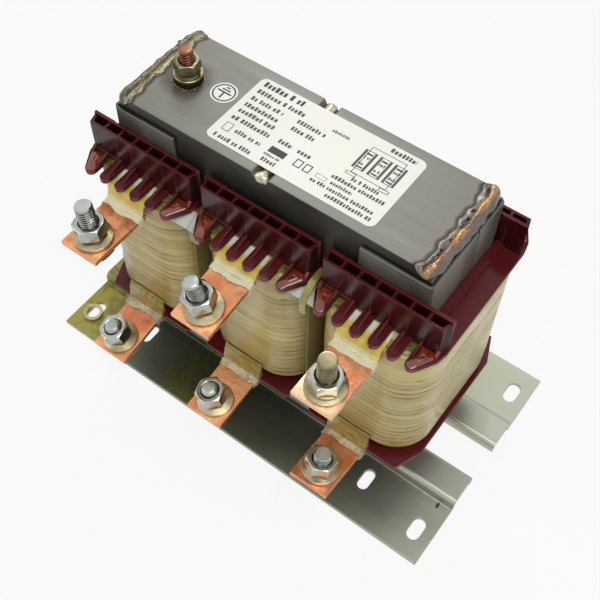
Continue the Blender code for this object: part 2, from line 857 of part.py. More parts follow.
def make_terminals():
    hole_y = -(bar_reach - bar_hole_edge)
    half = bar_width / 2
    hole = slot_outline(0.0, hole_y, bar_hole, bar_hole)
    outline = [(-half, -bar_reach), (half, -bar_reach), (half, 0.0), (-half, 0.0)]
    bar_mesh = take_mesh(prism([outline, hole], -bar_sheet, 0.0, "z"))

    # Screws: hexagon head under the bar, plain shank with a bevelled tip
    r = screw_diameter / 2
    screw_meshes = {}
    for level, length in (("upper", upper_screw_length), ("lower", lower_screw_length)):
        under = -bar_sheet - seat_gap
        buried = under - screw_tip_bevel
        end = [(0.0, length), (r - screw_tip_bevel, length), (r, length - screw_tip_bevel)]
        shank = turned(end + [(r, buried), (0.0, buried)])
        head = hexagon(screw_head_flats, under - screw_head_height, under)
        join(head, [shank])
        screw_meshes[level] = take_mesh(head)

    # Nut: hexagon trimmed by a cone at its corners, with a through bore
    nut = hexagon(nut_flats, 0.0, nut_height)
    corner = nut_flats / math.sqrt(3)
    trim = [(corner - 0.0011, nut_height + 0.0002), (corner + 0.002, nut_height - 0.0016)]
    trim += [(corner + 0.002, -0.001), (0.0, -0.001)]
    crown = turned([(0.0, nut_height + 0.0002)] + trim)
    top = nut_height + overshoot
    bore = turned([(0.0, top), (nut_bore / 2, top), (nut_bore / 2, -overshoot), (0.0, -overshoot)])
    boolean(nut, [crown], "INTERSECT")
    cut(nut, [bore])
    nut_mesh = take_mesh(nut)

    # Washer: a shallow dished ring
    outer = washer_diameter / 2
    inner = washer_bore / 2
    ring = [(inner, washer_sheet + washer_dish), (outer, washer_sheet), (outer, 0.0), (inner, washer_dish)]
    washer_mesh = take_mesh(turned(ring))

    for name, coil, level, height, slope, lean in terminals:
        if level == "upper":
            top = upper_flange_base + height
            sleeve_top = upper_flange_base - upper_sleeve_drop
        else:
            top = lower_flange_base + height
            sleeve_top = lower_flange_base + lower_sleeve_rise
        root = at(coil * limb_pitch + bar_offset, -bar_root, top)
        frame = bpy.data.objects.new("terminal_" + name, None)
        parts.objects.link(frame)
        frame.location = root
        frame.rotation_euler = (math.radians(slope), 0.0, 0.0)

        bar = bpy.data.objects.new("bar_" + name, bar_mesh)
        bar.location = (0.0, 0.0, -bar_sheet / 2)
        screw = bpy.data.objects.new("screw_" + name, screw_meshes[level])
        washer = bpy.data.objects.new("washer_" + name, washer_mesh)
        nut = bpy.data.objects.new("nut_" + name, nut_mesh)
        # A leaning screw pivots in the hole; its head and nut back off until they clear the bar
        pivot = Vector((0.0, hole_y, -bar_sheet / 2))
        angle = math.radians(lean)
        tilt = Matrix.Rotation(-angle, 3, "Y")
        head_seat = bar_sheet / 2 + seat_gap
        back_off = (head_seat + screw_head_flats / 2 * math.sin(angle)) / math.cos(angle) - head_seat
        washer.location = (0.0, hole_y, seat_gap)
        nut_seat = bar_sheet / 2 + 2 * seat_gap + washer_sheet + washer_dish
        nut_rise = (nut_seat + washer_bore / 2 * math.sin(angle)) / math.cos(angle)
        screw.location = pivot + tilt @ Vector((0.0, 0.0, bar_sheet / 2 - back_off))
        screw.rotation_euler = (0.0, -angle, 0.0)
        nut.location = pivot + tilt @ Vector((0.0, 0.0, nut_rise))
        nut.rotation_euler = (0.0, -angle, 0.0)
        for item in (bar, screw, washer, nut):
            item.parent = frame
            parts.objects.link(item)
        as_part(bar, "bar_" + name, copper)
        as_part(sleeve(root, math.radians(slope), sleeve_top - top), "sleeve_" + name, sleeve_tape)
        as_part(screw, "screw_" + name, zinc_bolt, 40)
        as_part(washer, "washer_" + name, washer_zinc, 40)
        as_part(nut, "nut_" + name, zinc_bolt, 40)


def make_earth():
    # Stud welded to the yoke by its collar, with a flat washer, a lock ring and a nut
    x = -core_half + earth_inset
    base = core_top + seat_gap
    r = earth_diameter / 2
    stud = turned([
        (0.0, earth_length),
        (r - 0.0008, earth_length),
        (r, earth_length - 0.0008),
        (r, earth_collar_height),
        (earth_collar / 2 - 0.0006, earth_collar_height),
        (earth_collar / 2, earth_collar_height - 0.0008),
        (earth_collar / 2, 0.0),
        (0.0, 0.0),
    ])
    stud.location = at(x, 0, base)
    as_part(stud, "earth_stud", stud_copper, 40)

    inner = r + 2 * seat_gap
    flat_top = earth_washer_height
    ring = [
        (inner, flat_top + lock_ring_height),
        (lock_ring_diameter / 2, flat_top + lock_ring_height),
        (lock_ring_diameter / 2, flat_top),
        (earth_washer_diameter / 2, flat_top),
        (earth_washer_diameter / 2, 0.0),
        (inner, 0.0),
    ]
    washer = turned(ring)
    washer_z = base + earth_collar_height + seat_gap
    washer.location = at(x, 0, washer_z)
    as_part(washer, "earth_washer", washer_zinc, 40)

    nut = hexagon(earth_nut_flats, 0.0, earth_nut_height)
    corner = earth_nut_flats / math.sqrt(3)
    trim = [(corner - 0.0009, earth_nut_height + 0.0002), (corner + 0.002, earth_nut_height - 0.0015)]
    trim += [(corner + 0.002, -0.001), (0.0, -0.001)]
    crown = turned([(0.0, earth_nut_height + 0.0002)] + trim)
    bore = turned([(0.0, 2 * overshoot), (inner, 2 * overshoot), (inner, -overshoot), (0.0, -overshoot)])
    boolean(nut, [crown], "INTERSECT")
    cut(nut, [bore])
    nut = bpy.data.objects.new("earth_nut", take_mesh(nut))
    nut.location = at(x, 0, washer_z + earth_washer_height + lock_ring_height + seat_gap)
    as_part(nut, "earth_nut", zinc_bolt, 40)


def make_ring():
    # A plain ring left lying over the outer slot of the front rail
    outer = ring_diameter / 2
    inner = ring_bore / 2
    ring = turned([(inner, ring_height), (outer, ring_height), (outer, 0.0), (inner, 0.0)])
    x = -(rail_length / 2 - outer_slot_end)
    y = -(rail_half_depth - outer_slot_edge) - ring_slip
    ring.location = at(x, y, rail_sheet + seat_gap)
    as_part(ring, "foot_ring", zinc_bolt, 40)


make_core()
make_welds()
make_rails()
make_angles()
make_formers()
make_windings()
make_barriers()
make_terminals()
make_earth()
make_ring()
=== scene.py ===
import math
import random

import bmesh
import bpy
from mathutils import Matrix, Vector, noise


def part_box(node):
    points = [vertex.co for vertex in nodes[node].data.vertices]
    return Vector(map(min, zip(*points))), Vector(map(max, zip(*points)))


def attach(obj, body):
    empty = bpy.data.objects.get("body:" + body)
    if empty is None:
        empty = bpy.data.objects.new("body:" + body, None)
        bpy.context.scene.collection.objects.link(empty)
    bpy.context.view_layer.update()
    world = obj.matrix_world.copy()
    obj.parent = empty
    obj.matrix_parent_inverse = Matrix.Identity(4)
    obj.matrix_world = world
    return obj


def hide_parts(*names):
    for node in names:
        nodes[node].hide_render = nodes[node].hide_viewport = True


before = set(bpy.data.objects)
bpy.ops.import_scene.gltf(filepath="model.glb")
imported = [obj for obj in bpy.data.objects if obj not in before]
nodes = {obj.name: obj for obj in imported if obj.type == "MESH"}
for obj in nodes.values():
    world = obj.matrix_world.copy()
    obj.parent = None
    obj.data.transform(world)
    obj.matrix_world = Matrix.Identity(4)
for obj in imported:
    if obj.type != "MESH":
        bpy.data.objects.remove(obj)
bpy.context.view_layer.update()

mm = 0.001

yokeLow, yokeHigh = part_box("core_top_yoke")
coreY = (yokeLow.y + yokeHigh.y) / 2    # middle of the core, front to back
coreTop = yokeHigh.z
coils = (-1, 0, 1)
coilPitch = 60    # mm from coil to coil
halfPitch = coilPitch / 2 * mm
studX = -57.9     # mm, the earth stud along the row
print("stage: frame loaded, %d nodes" % len(nodes))


# small helpers for nodes

class Field:
    # one output of a node, which takes plain arithmetic
    def __init__(self, tree, socket):
        self.tree = tree
        self.socket = socket

    def calc(self, operation, second=0.0, third=None):
        inputs = {0: self, 1: second}
        if third is not None:
            inputs[2] = third
        return source(self.tree, "Math", 0, inputs, operation=operation)

    def __add__(self, other):
        return self.calc("ADD", other)

    def __sub__(self, other):
        return self.calc("SUBTRACT", other)

    def __rsub__(self, other):
        return source(self.tree, "Math", 0, {0: other, 1: self}, operation="SUBTRACT")

    def __mul__(self, other):
        return self.calc("MULTIPLY", other)

    def __pow__(self, other):
        return self.calc("POWER", other)

    def __abs__(self):
        return self.calc("ABSOLUTE")

    def spread(self, low, high, toLow=0.0, toHigh=1.0):
        inputs = {0: self, 1: low, 2: high, 3: toLow, 4: toHigh}
        return source(self.tree, "MapRange", 0, inputs, interpolation_type="SMOOTHSTEP")

    def near(self, middle, half, strength=1.0):
        # a soft line: full in the middle, gone at the given distance
        return abs(self - middle).spread(0.0, half, strength, 0.0)

    def mix(self, first, second):
        return source(self.tree, "Mix", 2, {0: self, 6: first, 7: second}, data_type="RGBA")

    def bump(self, strength, distance, normal=None):
        inputs = {"Height": self, "Strength": strength, "Distance": distance}
        if normal is not None:
            inputs["Normal"] = normal
        return source(self.tree, "Bump", "Normal", inputs)


def tone(red, green, blue):
    # colour given on a 0 to 255 screen scale
    def linear(value):
        value = value / 255
        return value / 12.92 if value <= 0.04045 else ((value + 0.055) / 1.055) ** 2.4
    return (linear(red), linear(green), linear(blue), 1.0)


def tones(picked):
    return {name: tone(*value) for name, value in picked.items()}


def add(tree, kind, inputs=None, **settings):
    made = tree.nodes.new("ShaderNode" + kind)
    for key, value in settings.items():
        setattr(made, key, value)
    for key, value in (inputs or {}).items():
        if isinstance(value, Field):
            tree.links.new(value.socket, made.inputs[key])
        else:
            made.inputs[key].default_value = value
    return made


def source(tree, kind, output, inputs=None, **settings):
    return Field(tree, add(tree, kind, inputs, **settings).outputs[output])


def split(tree, kind, value):
    # the three parts of a vector or a colour
    return tuple(Field(tree, part) for part in add(tree, kind, {0: value}).outputs)


def place(tree, stretch=(1, 1, 1), turn=(0, 0, 0)):
    # object coordinates in metres, stretched along each axis
    coords = source(tree, "TexCoord", "Object")
    return source(tree, "Mapping", "Vector", {"Vector": coords, "Scale": stretch, "Rotation": turn})


def cloud(tree, scale, detail, roughness=0.5, distortion=0.0, stretch=(1, 1, 1), turn=(0, 0, 0)):
    inputs = {"Vector": place(tree, stretch, turn), "Scale": scale, "Detail": detail,
              "Roughness": roughness, "Distortion": distortion}
    return source(tree, "TexNoise", "Fac", inputs)


def distance(tree, spot, stretch=(1, 1, 1)):
    return source(tree, "VectorMath", "Value", {0: place(tree, stretch), 1: spot}, operation="DISTANCE")


def axes(tree):
    return split(tree, "SeparateXYZ", source(tree, "TexCoord", "Object"))


def facing(tree):
    # how far the surface faces along each axis, whichever way round
    return tuple(abs(part) for part in split(tree, "SeparateXYZ", source(tree, "NewGeometry", "Normal")))


def highlightEdges(tree):
    # how sharp the surface is here; each use paints a highlight along sharp edges
    return source(tree, "NewGeometry", "Pointiness")


def painted(tree, layerName):
    # the channels written on a mesh: grooves in red, crowns or tone in green
    return split(tree, "SeparateColor", source(tree, "VertexColor", "Color", layer_name=layerName))


def newMaterial(name, **settings):
    made = bpy.data.materials.new(name)
    made.use_nodes = True
    shader = made.node_tree.nodes["Principled BSDF"]
    for key, value in settings.items():
        shader.inputs[key.replace("_", " ")].default_value = value
    return made, made.node_tree


def wire(made, **sockets):
    shader = made.node_tree.nodes["Principled BSDF"]
    for key, value in sockets.items():
        made.node_tree.links.new(value.socket, shader.inputs[key.replace("_", " ")])
    return made


# the line where each end bead meets the core, in mm, wavy as a hand weld is

bead = {"half": 25.9, "centre": 72.75, "spread": 1.4, "inner": 3.4, "blob": 0.9,
        "waves": ((0.55, 0.42, 1.46, 1.0), (0.35, 0.95, 0.0, 2.3))}    # height, pace, side shift, start


def beadCentre(y):
    return bead["centre"] - bead["spread"] * min(1.0, abs(y) / bead["half"]) ** 3


def beadBorder(y, side):
    share = min(1.0, abs(y) / bead["half"])
    wave = sum(height * math.sin(pace * y + shift * side + start)
               for height, pace, shift, start in bead["waves"])
    return beadCentre(y) - bead["inner"] - bead["blob"] * share ** 8 + wave


def beadNodes(tree):
    # the same lines as nodes: distances in mm from the bead's middle and from its border
    x, y, z = axes(tree)
    yRel = (y - coreY) * 1000.0
    share = abs(yRel) * (1 / bead["half"])
    across = abs(x) * 1000.0
    side = x.calc("SIGN")
    centre = bead["centre"] - share ** 3.0 * bead["spread"]
    border = centre - bead["inner"] - share ** 8.0 * bead["blob"]
    for height, pace, shift, start in bead["waves"]:
        border = border + (yRel * pace + side * shift + start).calc("SINE") * height
    return across - centre, border - across


# materials

def makeCoreSteel():
    # sheet edges on top and ends, dark varnish on the front and back faces
    look = tones({"grey": (121, 121, 113), "greyDark": (102, 102, 94), "pale": (135, 136, 130),
                  "olive": (114, 113, 95), "front": (63, 62, 54), "frontDark": (36, 36, 32),
                  "ends": (108, 101, 93), "tan": (135, 118, 92), "brown": (85, 64, 46),
                  "blue": (44, 50, 61), "soot": (69, 64, 48)})
    made, tree = newMaterial("coreSteel", Metallic=0.4)
    faceX, faceY, faceZ = facing(tree)
    lines = cloud(tree, 1.0, 2.0, stretch=(5, 2400, 5))
    broad = cloud(tree, 1.0, 3.0, stretch=(12, 150, 12))
    patches = cloud(tree, 40.0, 4.0)
    fine = cloud(tree, 380.0, 4.0)
    grey = lines.spread(0.3, 0.7, 0.0, 0.5).mix(look["grey"], look["greyDark"])
    grey = broad.spread(0.35, 0.75, 0.0, 0.35).mix(grey, look["pale"])
    grey = patches.spread(0.52, 0.78, 0.0, 0.35).mix(grey, look["olive"])
    # heat tint beside the end beads: blue line, brown halo, tan haze
    gap = beadNodes(tree)[1] + (fine - 0.5) * 0.9
    grey = gap.spread(1.2, 3.6, 0.5, 0.0).mix(grey, look["tan"])
    grey = gap.spread(0.9, 1.8, 0.8, 0.0).mix(grey, look["brown"])
    grey = gap.spread(0.3, 0.9, 1.0, 0.0).mix(grey, look["blue"])
    # soot and varnish round the earth stud
    away = distance(tree, (studX * mm, coreY, coreTop)) + (patches - 0.5) * 0.012
    grey = away.spread(0.0072, 0.0135, 0.75, 0.0).mix(grey, look["soot"])
    dark = patches.spread(0.3, 0.75).mix(look["frontDark"], look["front"])
    ends = patches.spread(0.3, 0.7).mix(look["ends"], look["greyDark"])
    colour = faceX.spread(0.6, 0.9).mix(grey, ends)
    colour = faceY.spread(0.55, 0.85).mix(colour, dark)
    return wire(made, Base_Color=colour, Normal=patches.bump(0.12, 0.0005, lines.bump(0.2, 0.0001)),
                Roughness=broad.spread(0.2, 0.8, 0.36, 0.5))


def makeAngleSteel():
    look = tones({"dark": (52, 51, 45), "light": (91, 88, 77), "end": (111, 100, 91),
                  "endDark": (81, 72, 66), "rim": (172, 172, 163)})
    made, tree = newMaterial("angleSteel", Metallic=0.5)
    patches = cloud(tree, 70.0, 4.0, stretch=(1, 1, 0.5))
    fine = cloud(tree, 1.0, 2.0, stretch=(40, 40, 900))
    colour = patches.spread(0.3, 0.75).mix(look["dark"], look["light"])
    taupe = patches.spread(0.3, 0.7).mix(look["endDark"], look["end"])
    colour = facing(tree)[0].spread(0.5, 0.85).mix(colour, taupe)
    # painted highlight: a pale line along the sharp edges
    colour = highlightEdges(tree).spread(0.53, 0.62, 0.0, 0.8).mix(colour, look["rim"])
    return wire(made, Base_Color=colour, Normal=fine.bump(0.1, 0.0002),
                Roughness=patches.spread(0.2, 0.8, 0.3, 0.5))


def makeRailZinc():
    # zinc coated sheet with dried varnish on the left foot and a thin film between the coils
    look = tones({"zinc": (147, 151, 135), "zincDark": (112, 118, 102), "back": (161, 166, 141),
                  "rim": (190, 191, 179), "varnish": (180, 170, 56), "varnishDark": (142, 134, 38),
                  "film": (108, 110, 34), "speck": (46, 46, 16), "mark": (26, 26, 23),
                  "shade": (62, 65, 42)})
    made, tree = newMaterial("railZinc", Metallic=0.8)
    x, y, z = axes(tree)
    rolled = cloud(tree, 1.0, 4.0, stretch=(5, 50, 50))
    grain = cloud(tree, 900.0, 3.0)
    runs = cloud(tree, 130.0, 3.0, 0.5, 0.8)
    edge = cloud(tree, 60.0, 4.0)
    frontHalf = y.spread(-0.012, -0.004, 1.0, 0.0)
    colour = rolled.spread(0.3, 0.72).mix(look["zincDark"], look["zinc"])
    colour = y.spread(-0.005, 0.01, 0.0, 0.7).mix(colour, look["back"])
    colour = (x.spread(0.015, 0.045, 0.5, 0.0) * frontHalf).mix(colour, look["shade"])
    # painted light: both rails paler towards the right end
    colour = x.spread(0.065, 0.110, 0.0, 0.45).mix(colour, look["rim"])
    # thick varnish on the left end of the front foot, a thin film with specks between the coils
    side = x + (edge - 0.5) * 0.045
    thick = side.spread(-0.080, -0.070, 1.0, 0.0) * frontHalf
    thin = side.near(-0.026, 0.026) * edge.spread(0.35, 0.5) * frontHalf
    varnish = runs.spread(0.38, 0.58).mix(look["varnishDark"], look["varnish"])
    colour = (thin * 0.85).mix(colour, look["film"])
    colour = (thin * grain.spread(0.56, 0.62)).mix(colour, look["speck"])
    colour = thick.mix(colour, varnish)
    # a small rubbed mark near the right end
    away = distance(tree, (0.1038, (coreY - 0.0295) * 0.45, 0.0025), (1, 0.45, 1))
    colour = away.spread(0.0005, 0.0010, 0.9, 0.0).mix(colour, look["mark"])
    # painted highlight along the sharp edges and bends
    colour = highlightEdges(tree).spread(0.53, 0.62, 0.0, 0.7).mix(colour, look["rim"])
    height = thick * (runs * 3.0) + grain * 0.1
    return wire(made, Base_Color=colour, Normal=height.bump(0.45, 0.0005),
                Metallic=thick.spread(0.1, 0.8, 0.8, 0.0),
                Roughness=(rolled + thick).spread(0.3, 1.3, 0.4, 0.08))


def makeFormerPlastic():
    look = tones({"base": (77, 19, 25), "deep": (54, 11, 16), "lit": (106, 31, 36), "rim": (172, 88, 86),
                  "paleRun": (97, 63, 59), "tan": (138, 109, 86), "inside": (27, 10, 10)})
    made, tree = newMaterial("formerPlastic", Specular_IOR_Level=0.24)
    x, y, z = axes(tree)
    faceX, faceY, faceZ = facing(tree)
    patches = cloud(tree, 60.0, 4.0)
    runs = cloud(tree, 1.0, 3.0, stretch=(240, 240, 22))
    fine = cloud(tree, 1400.0, 2.0)
    colour = patches.spread(0.3, 0.75).mix(look["deep"], look["base"])
    colour = faceZ.spread(0.6, 0.95, 0.0, 0.6).mix(colour, look["lit"])
    # walls: pale soft upright runs, and a few thin lines left by the varnish
    colour = (runs.spread(0.55, 0.75, 0.0, 0.4) * faceY).mix(colour, look["paleRun"])
    local = x.calc("WRAP", halfPitch, -halfPitch)
    bent = local + (patches - 0.5) * 0.002
    onWall = z.near(0.135, 0.0085) * faceY.spread(0.7, 0.9)
    streaks = ((-0.0212, 0.2), (-0.0128, 0.6), (-0.0042, 0.35),    # place, strength
               (0.0045, 0.25), (0.0125, 0.3), (0.0196, 0.35))
    for middle, strength in streaks:
        colour = (bent.near(middle, 0.00045) * onWall * strength).mix(colour, look["tan"])
    low = z.near(0.1295, 0.0012) * local.spread(-0.0134, -0.0126, 0.5, 0.0)
    colour = (low * faceY).mix(colour, look["tan"])
    # painted highlight on the edges, only where they are rounded
    level = faceX.calc("MAXIMUM", faceY).calc("MAXIMUM", faceZ)
    rimGlint = highlightEdges(tree).spread(0.51, 0.58, 0.0, 0.6) * level.spread(0.985, 0.998, 1.0, 0.0)
    colour = rimGlint.mix(colour, look["rim"])
    # painted shade: the pockets are darkened
    inside = abs(y - coreY).near(0.0295, 0.0022, 3.0) * z.spread(0.1425, 0.1452, 1.0, 0.0)
    colour = (inside * z.spread(0.1295, 0.1300)).mix(colour, look["inside"])
    return wire(made, Base_Color=colour, Normal=patches.bump(0.2, 0.0006, fine.bump(0.08, 0.0001)),
                Roughness=patches.spread(0.2, 0.8, 0.14, 0.26) + faceX.spread(0.6, 0.9, 0.0, 0.4))


def makeFilmWire():
    # film wrapped wire under varnish: cream where lit, olive towards the bottom
    look = tones({"cream": (232, 213, 131), "tan": (179, 157, 84), "olive": (159, 131, 41),
                  "groove": (86, 70, 31), "brown": (161, 129, 61), "gloss": (250, 241, 191)})
    made, tree = newMaterial("filmWire", Subsurface_Weight=0.06, Subsurface_Radius=(0.002, 0.0015, 0.0008),
                             Coat_Weight=0.4, Coat_Roughness=0.12)
    x, y, z = axes(tree)
    thin = cloud(tree, 1.0, 2.0, stretch=(10, 10, 1300))
    broad = cloud(tree, 30.0, 4.0)
    upright = cloud(tree, 1.0, 2.0, stretch=(46, 46, 4))
    laps = cloud(tree, 1.0, 2.0, stretch=(30, 30, 520), turn=(0.12, 0.2, 0.0))
    groove, shade, unused = painted(tree, "turns")
    colour = shade.mix(look["tan"], look["cream"])
    # painted sheen: soft upright bands of a paler colour
    colour = upright.spread(0.5, 0.7, 0.0, 0.45).mix(colour, look["gloss"])
    colour = thin.spread(0.55, 0.75, 0.0, 0.14).mix(colour, look["groove"])
    colour = laps.spread(0.6, 0.68, 0.0, 0.2).mix(colour, look["gloss"])
    colour = broad.spread(0.5, 0.75, 0.0, 0.4).mix(colour, look["brown"])
    colour = (z + broad * 0.02).spread(0.054, 0.100, 0.7, 0.0).mix(colour, look["olive"])
    # painted shade in the grooves between the turns
    colour = (groove * 0.95).mix(colour, look["groove"])
    return wire(made, Base_Color=colour, Normal=(thin + laps * 0.6).bump(0.2, 0.0002),
                Roughness=broad.spread(0.2, 0.8, 0.3, 0.46))


def makeCopper():
    look = tones({"bright": (250, 178, 120), "base": (213, 120, 72), "dull": (154, 79, 47),
                  "rim": (250, 196, 157), "stain": (111, 56, 38), "pale": (250, 217, 179)})
    made, tree = newMaterial("copper", Metallic=0.6)
    x, y, z = axes(tree)
    stains = cloud(tree, 170.0, 5.0, 0.62)
    brushed = cloud(tree, 1.0, 2.0, stretch=(1800, 50, 50))
    scratch = cloud(tree, 1.0, 2.0, stretch=(900, 900, 900), turn=(0.0, 0.0, 0.7))
    broad = cloud(tree, 85.0, 3.0)
    colour = broad.spread(0.38, 0.62).mix(look["base"], look["bright"])
    colour = stains.spread(0.46, 0.66, 0.0, 0.6).mix(colour, look["dull"])
    colour = stains.spread(0.62, 0.72, 0.0, 0.6).mix(colour, look["stain"])
    colour = brushed.spread(0.5, 0.8, 0.0, 0.25).mix(colour, look["rim"])
    # painted highlight along the sharp edges
    colour = highlightEdges(tree).spread(0.53, 0.6, 0.0, 0.45).mix(colour, look["rim"])
    # the front half of the right upper bar is rubbed pale
    onBar = x.spread(0.0454, 0.0458) * z.spread(0.100, 0.110)
    front = y + stains * 0.012
    colour = (onBar * front.spread(coreY - 0.058, coreY - 0.053, 0.7, 0.0)).mix(colour, look["pale"])
    height = brushed + scratch * 0.4
    return wire(made, Base_Color=colour, Normal=height.bump(0.15, 0.0001, broad.bump(0.5, 0.0012)),
                Roughness=stains.spread(0.3, 0.7, 0.18, 0.4))


def makeZinc(name, light, dark, groove, roughness):
    # plated metal: painted highlight on edges, painted shade in the grooves of a thread, dull and pale on a
    # screw's end
    metal = 0.95
    light, dark, groove = tone(*light), tone(*dark), tone(*groove)
    bright = tuple(min(1.0, value * 1.6) for value in light[:3]) + (1.0,)
    made, tree = newMaterial(name, Metallic=metal)
    stains = cloud(tree, 150.0, 3.0)
    fine = cloud(tree, 1600.0, 2.0)
    grooveShade, onCrown, unused = painted(tree, "thread")
    # painted shade in the grooves of the thread
    colour = grooveShade.mix(stains.spread(0.35, 0.7).mix(light, dark), groove)
    # painted highlight on the sharp edges
    colour = highlightEdges(tree).spread(0.53, 0.62, 0.0, 0.7).mix(colour, bright)
    colour = (onCrown * 0.2).mix(colour, bright)
    return wire(made, Base_Color=colour, Normal=fine.bump(0.03, 0.0001),
                Roughness=stains.spread(0.3, 0.7, roughness, roughness + 0.05) + onCrown * 0.25,
                Metallic=onCrown.spread(0.0, 1.0, metal, 0.5))


def makeStudCopper():
    # copper washed thread above a dark collar
    look = tones({"red": (154, 82, 66), "dull": (104, 60, 48), "tip": (138, 100, 76),
                  "groove": (56, 31, 25), "collar": (52, 41, 31)})
    made, tree = newMaterial("studCopper", Metallic=0.85, Roughness=0.34)
    x, y, z = axes(tree)
    stains = cloud(tree, 420.0, 4.0)
    colour = stains.spread(0.35, 0.7).mix(look["red"], look["dull"])
    colour = z.spread(coreTop + 0.0146, coreTop + 0.0160, 0.0, 0.7).mix(colour, look["tip"])
    # painted shade in the grooves of the thread
    colour = painted(tree, "thread")[0].mix(colour, look["groove"])
    colour = z.spread(coreTop + 0.0024, coreTop + 0.0028, 1.0, 0.0).mix(colour, look["collar"])
    return wire(made, Base_Color=colour, Normal=stains.bump(0.2, 0.0002))


def makeWeld():
    # heat coloured bead: silver on the core side, a row of pits, then a gold and copper ridge
    look = tones({"silver": (133, 129, 118), "silverDark": (71, 73, 71), "gold": (169, 133, 93),
                  "copper": (120, 86, 73), "glint": (218, 190, 151), "outer": (111, 103, 98),
                  "tan": (118, 109, 88), "tanDark": (84, 81, 69), "cream": (169, 160, 133),
                  "pit": (28, 20, 16)})
    made, tree = newMaterial("weldMetal", Metallic=0.9)
    x, y, z = axes(tree)
    patches = cloud(tree, 230.0, 4.0, 0.6, stretch=(1, 0.55, 1))
    fine = cloud(tree, 1500.0, 4.0)
    local = beadNodes(tree)[0] + (patches - 0.5) * 2.0
    silver = patches.spread(0.4, 0.6).mix(look["silverDark"], look["silver"])
    gold = patches.spread(0.40, 0.56).mix(look["copper"], look["gold"])
    # painted glints: small pale specks on the gold ridge
    gold = fine.spread(0.55, 0.7, 0.0, 0.6).mix(gold, look["glint"])
    right = local.spread(-1.3, -0.7).mix(silver, gold)
    right = local.spread(1.6, 2.8).mix(right, look["outer"])
    right = cloud(tree, 120.0, 2.0).spread(0.5, 0.62, 0.0, 0.75).mix(right, look["outer"])
    left = patches.spread(0.4, 0.62).mix(look["tanDark"], look["tan"])
    # painted highlight: a pale line along the inner edge of the left bead
    left = local.near(-1.4, 1.0, 0.8).mix(left, look["cream"])
    colour = x.spread(-0.01, 0.01).mix(left, right)
    pits = cloud(tree, 520.0, 3.0).spread(0.52, 0.60) * local.near(-1.2, 1.1)
    pits = pits * x.spread(-0.01, 0.01, 0.15, 1.0)
    height = patches + fine * 0.3 - pits
    return wire(made, Base_Color=pits.mix(colour, look["pit"]), Normal=height.bump(0.5, 0.0005),
                Roughness=patches.spread(0.3, 0.7, 0.2, 0.36))


def makeTapeUpper():
    # cream band on the bar, yellow sheet, white paper up under the fingers
    look = tones({"white": (250, 248, 224), "cream": (250, 244, 205), "yellow": (250, 226, 112),
                  "bright": (250, 248, 228), "gold": (250, 221, 107), "slit": (111, 97, 66)})
    made, tree = newMaterial("tapeUpper", Roughness=0.36, Coat_Weight=0.25,
                             Subsurface_Weight=0.1, Subsurface_Radius=(0.002, 0.0018, 0.001))
    x, y, z = axes(tree)
    torn = cloud(tree, 300.0, 5.0, 0.62)
    weave = source(tree, "TexWave", "Fac", {"Vector": place(tree), "Scale": 260.0, "Distortion": 0.6},
                   bands_direction="X")
    along = y + (torn - 0.5) * 0.0016
    sheet = torn.spread(0.5, 0.72, 0.0, 0.6).mix(look["yellow"], look["gold"])
    sheet = along.spread(coreY - 0.0372, coreY - 0.0358).mix(sheet, look["white"])
    band = torn.spread(0.5, 0.66).mix(look["cream"], look["bright"])
    band = torn.spread(0.34, 0.42, 0.8, 0.0).mix(band, look["yellow"])
    colour = along.spread(coreY - 0.0424, coreY - 0.0418, 1.0, 0.0).mix(sheet, band)
    # a slit in the band, parallel to its back edge
    slit = y.near(coreY - 0.0443, 0.00022) * x.calc("WRAP", halfPitch, -halfPitch).near(-0.0005, 0.0055)
    colour = (slit * torn.spread(0.42, 0.5)).mix(colour, look["slit"])
    return wire(made, Base_Color=colour, Normal=(torn + weave * 0.2).bump(0.3, 0.0003))


def makeTapeLower():
    # crinkled grey film on the bar, glossy olive varnish behind it
    look = tones({"film": (225, 213, 182), "filmDark": (175, 161, 129), "olive": (197, 172, 95),
                  "oliveDark": (168, 141, 66), "top": (168, 145, 81), "line": (97, 79, 36)})
    made, tree = newMaterial("tapeLower", Roughness=0.3, Coat_Weight=0.5, Coat_Roughness=0.06)
    x, y, z = axes(tree)
    crinkle = cloud(tree, 170.0, 4.0, 0.55, 1.0)
    film = crinkle.spread(0.36, 0.6).mix(look["filmDark"], look["film"])
    olive = crinkle.spread(0.3, 0.62).mix(look["oliveDark"], look["olive"])
    olive = z.spread(0.0455, 0.0500).mix(olive, look["top"])
    # the soaked pad shows the turns of the coil behind it
    lines = (z + cloud(tree, 45.0, 2.0) * 0.004).calc("PINGPONG", 0.0021)
    olive = lines.spread(0.0, 0.00035, 0.7, 0.0).mix(olive, look["line"])
    back = y + (crinkle - 0.5) * 0.0022
    colour = back.spread(coreY - 0.0434, coreY - 0.0425).mix(film, olive)
    return wire(made, Base_Color=colour, Normal=crinkle.bump(0.5, 0.0006))


def makePaper():
    # insulating sheet with a fold line between the coils
    look = tones({"light": (232, 236, 224), "dark": (210, 213, 198), "fold": (106, 104, 88),
                  "web": (125, 111, 66)})
    made, tree = newMaterial("paperSheet", Roughness=0.6)
    x, y, z = axes(tree)
    patches = cloud(tree, 150.0, 4.0)
    colour = patches.spread(0.3, 0.72).mix(look["dark"], look["light"])
    # painted shade along the fold line between the coils
    colour = (abs(x).near(0.0302, 0.0003) * 0.8).mix(colour, look["fold"])
    colour = z.spread(0.1165, 0.1185, 1.0, 0.0).mix(colour, look["web"])
    return wire(made, Base_Color=colour, Normal=patches.bump(0.15, 0.0004))


def makeSimple(name, light, dark, roughness, scale=180.0, strength=0.15, **settings):
    made, tree = newMaterial(name, Roughness=roughness, **settings)
    patches = cloud(tree, scale, 4.0)
    return wire(made, Base_Color=patches.spread(0.3, 0.72).mix(tone(*dark), tone(*light)),
                Normal=patches.bump(strength, 0.0004))


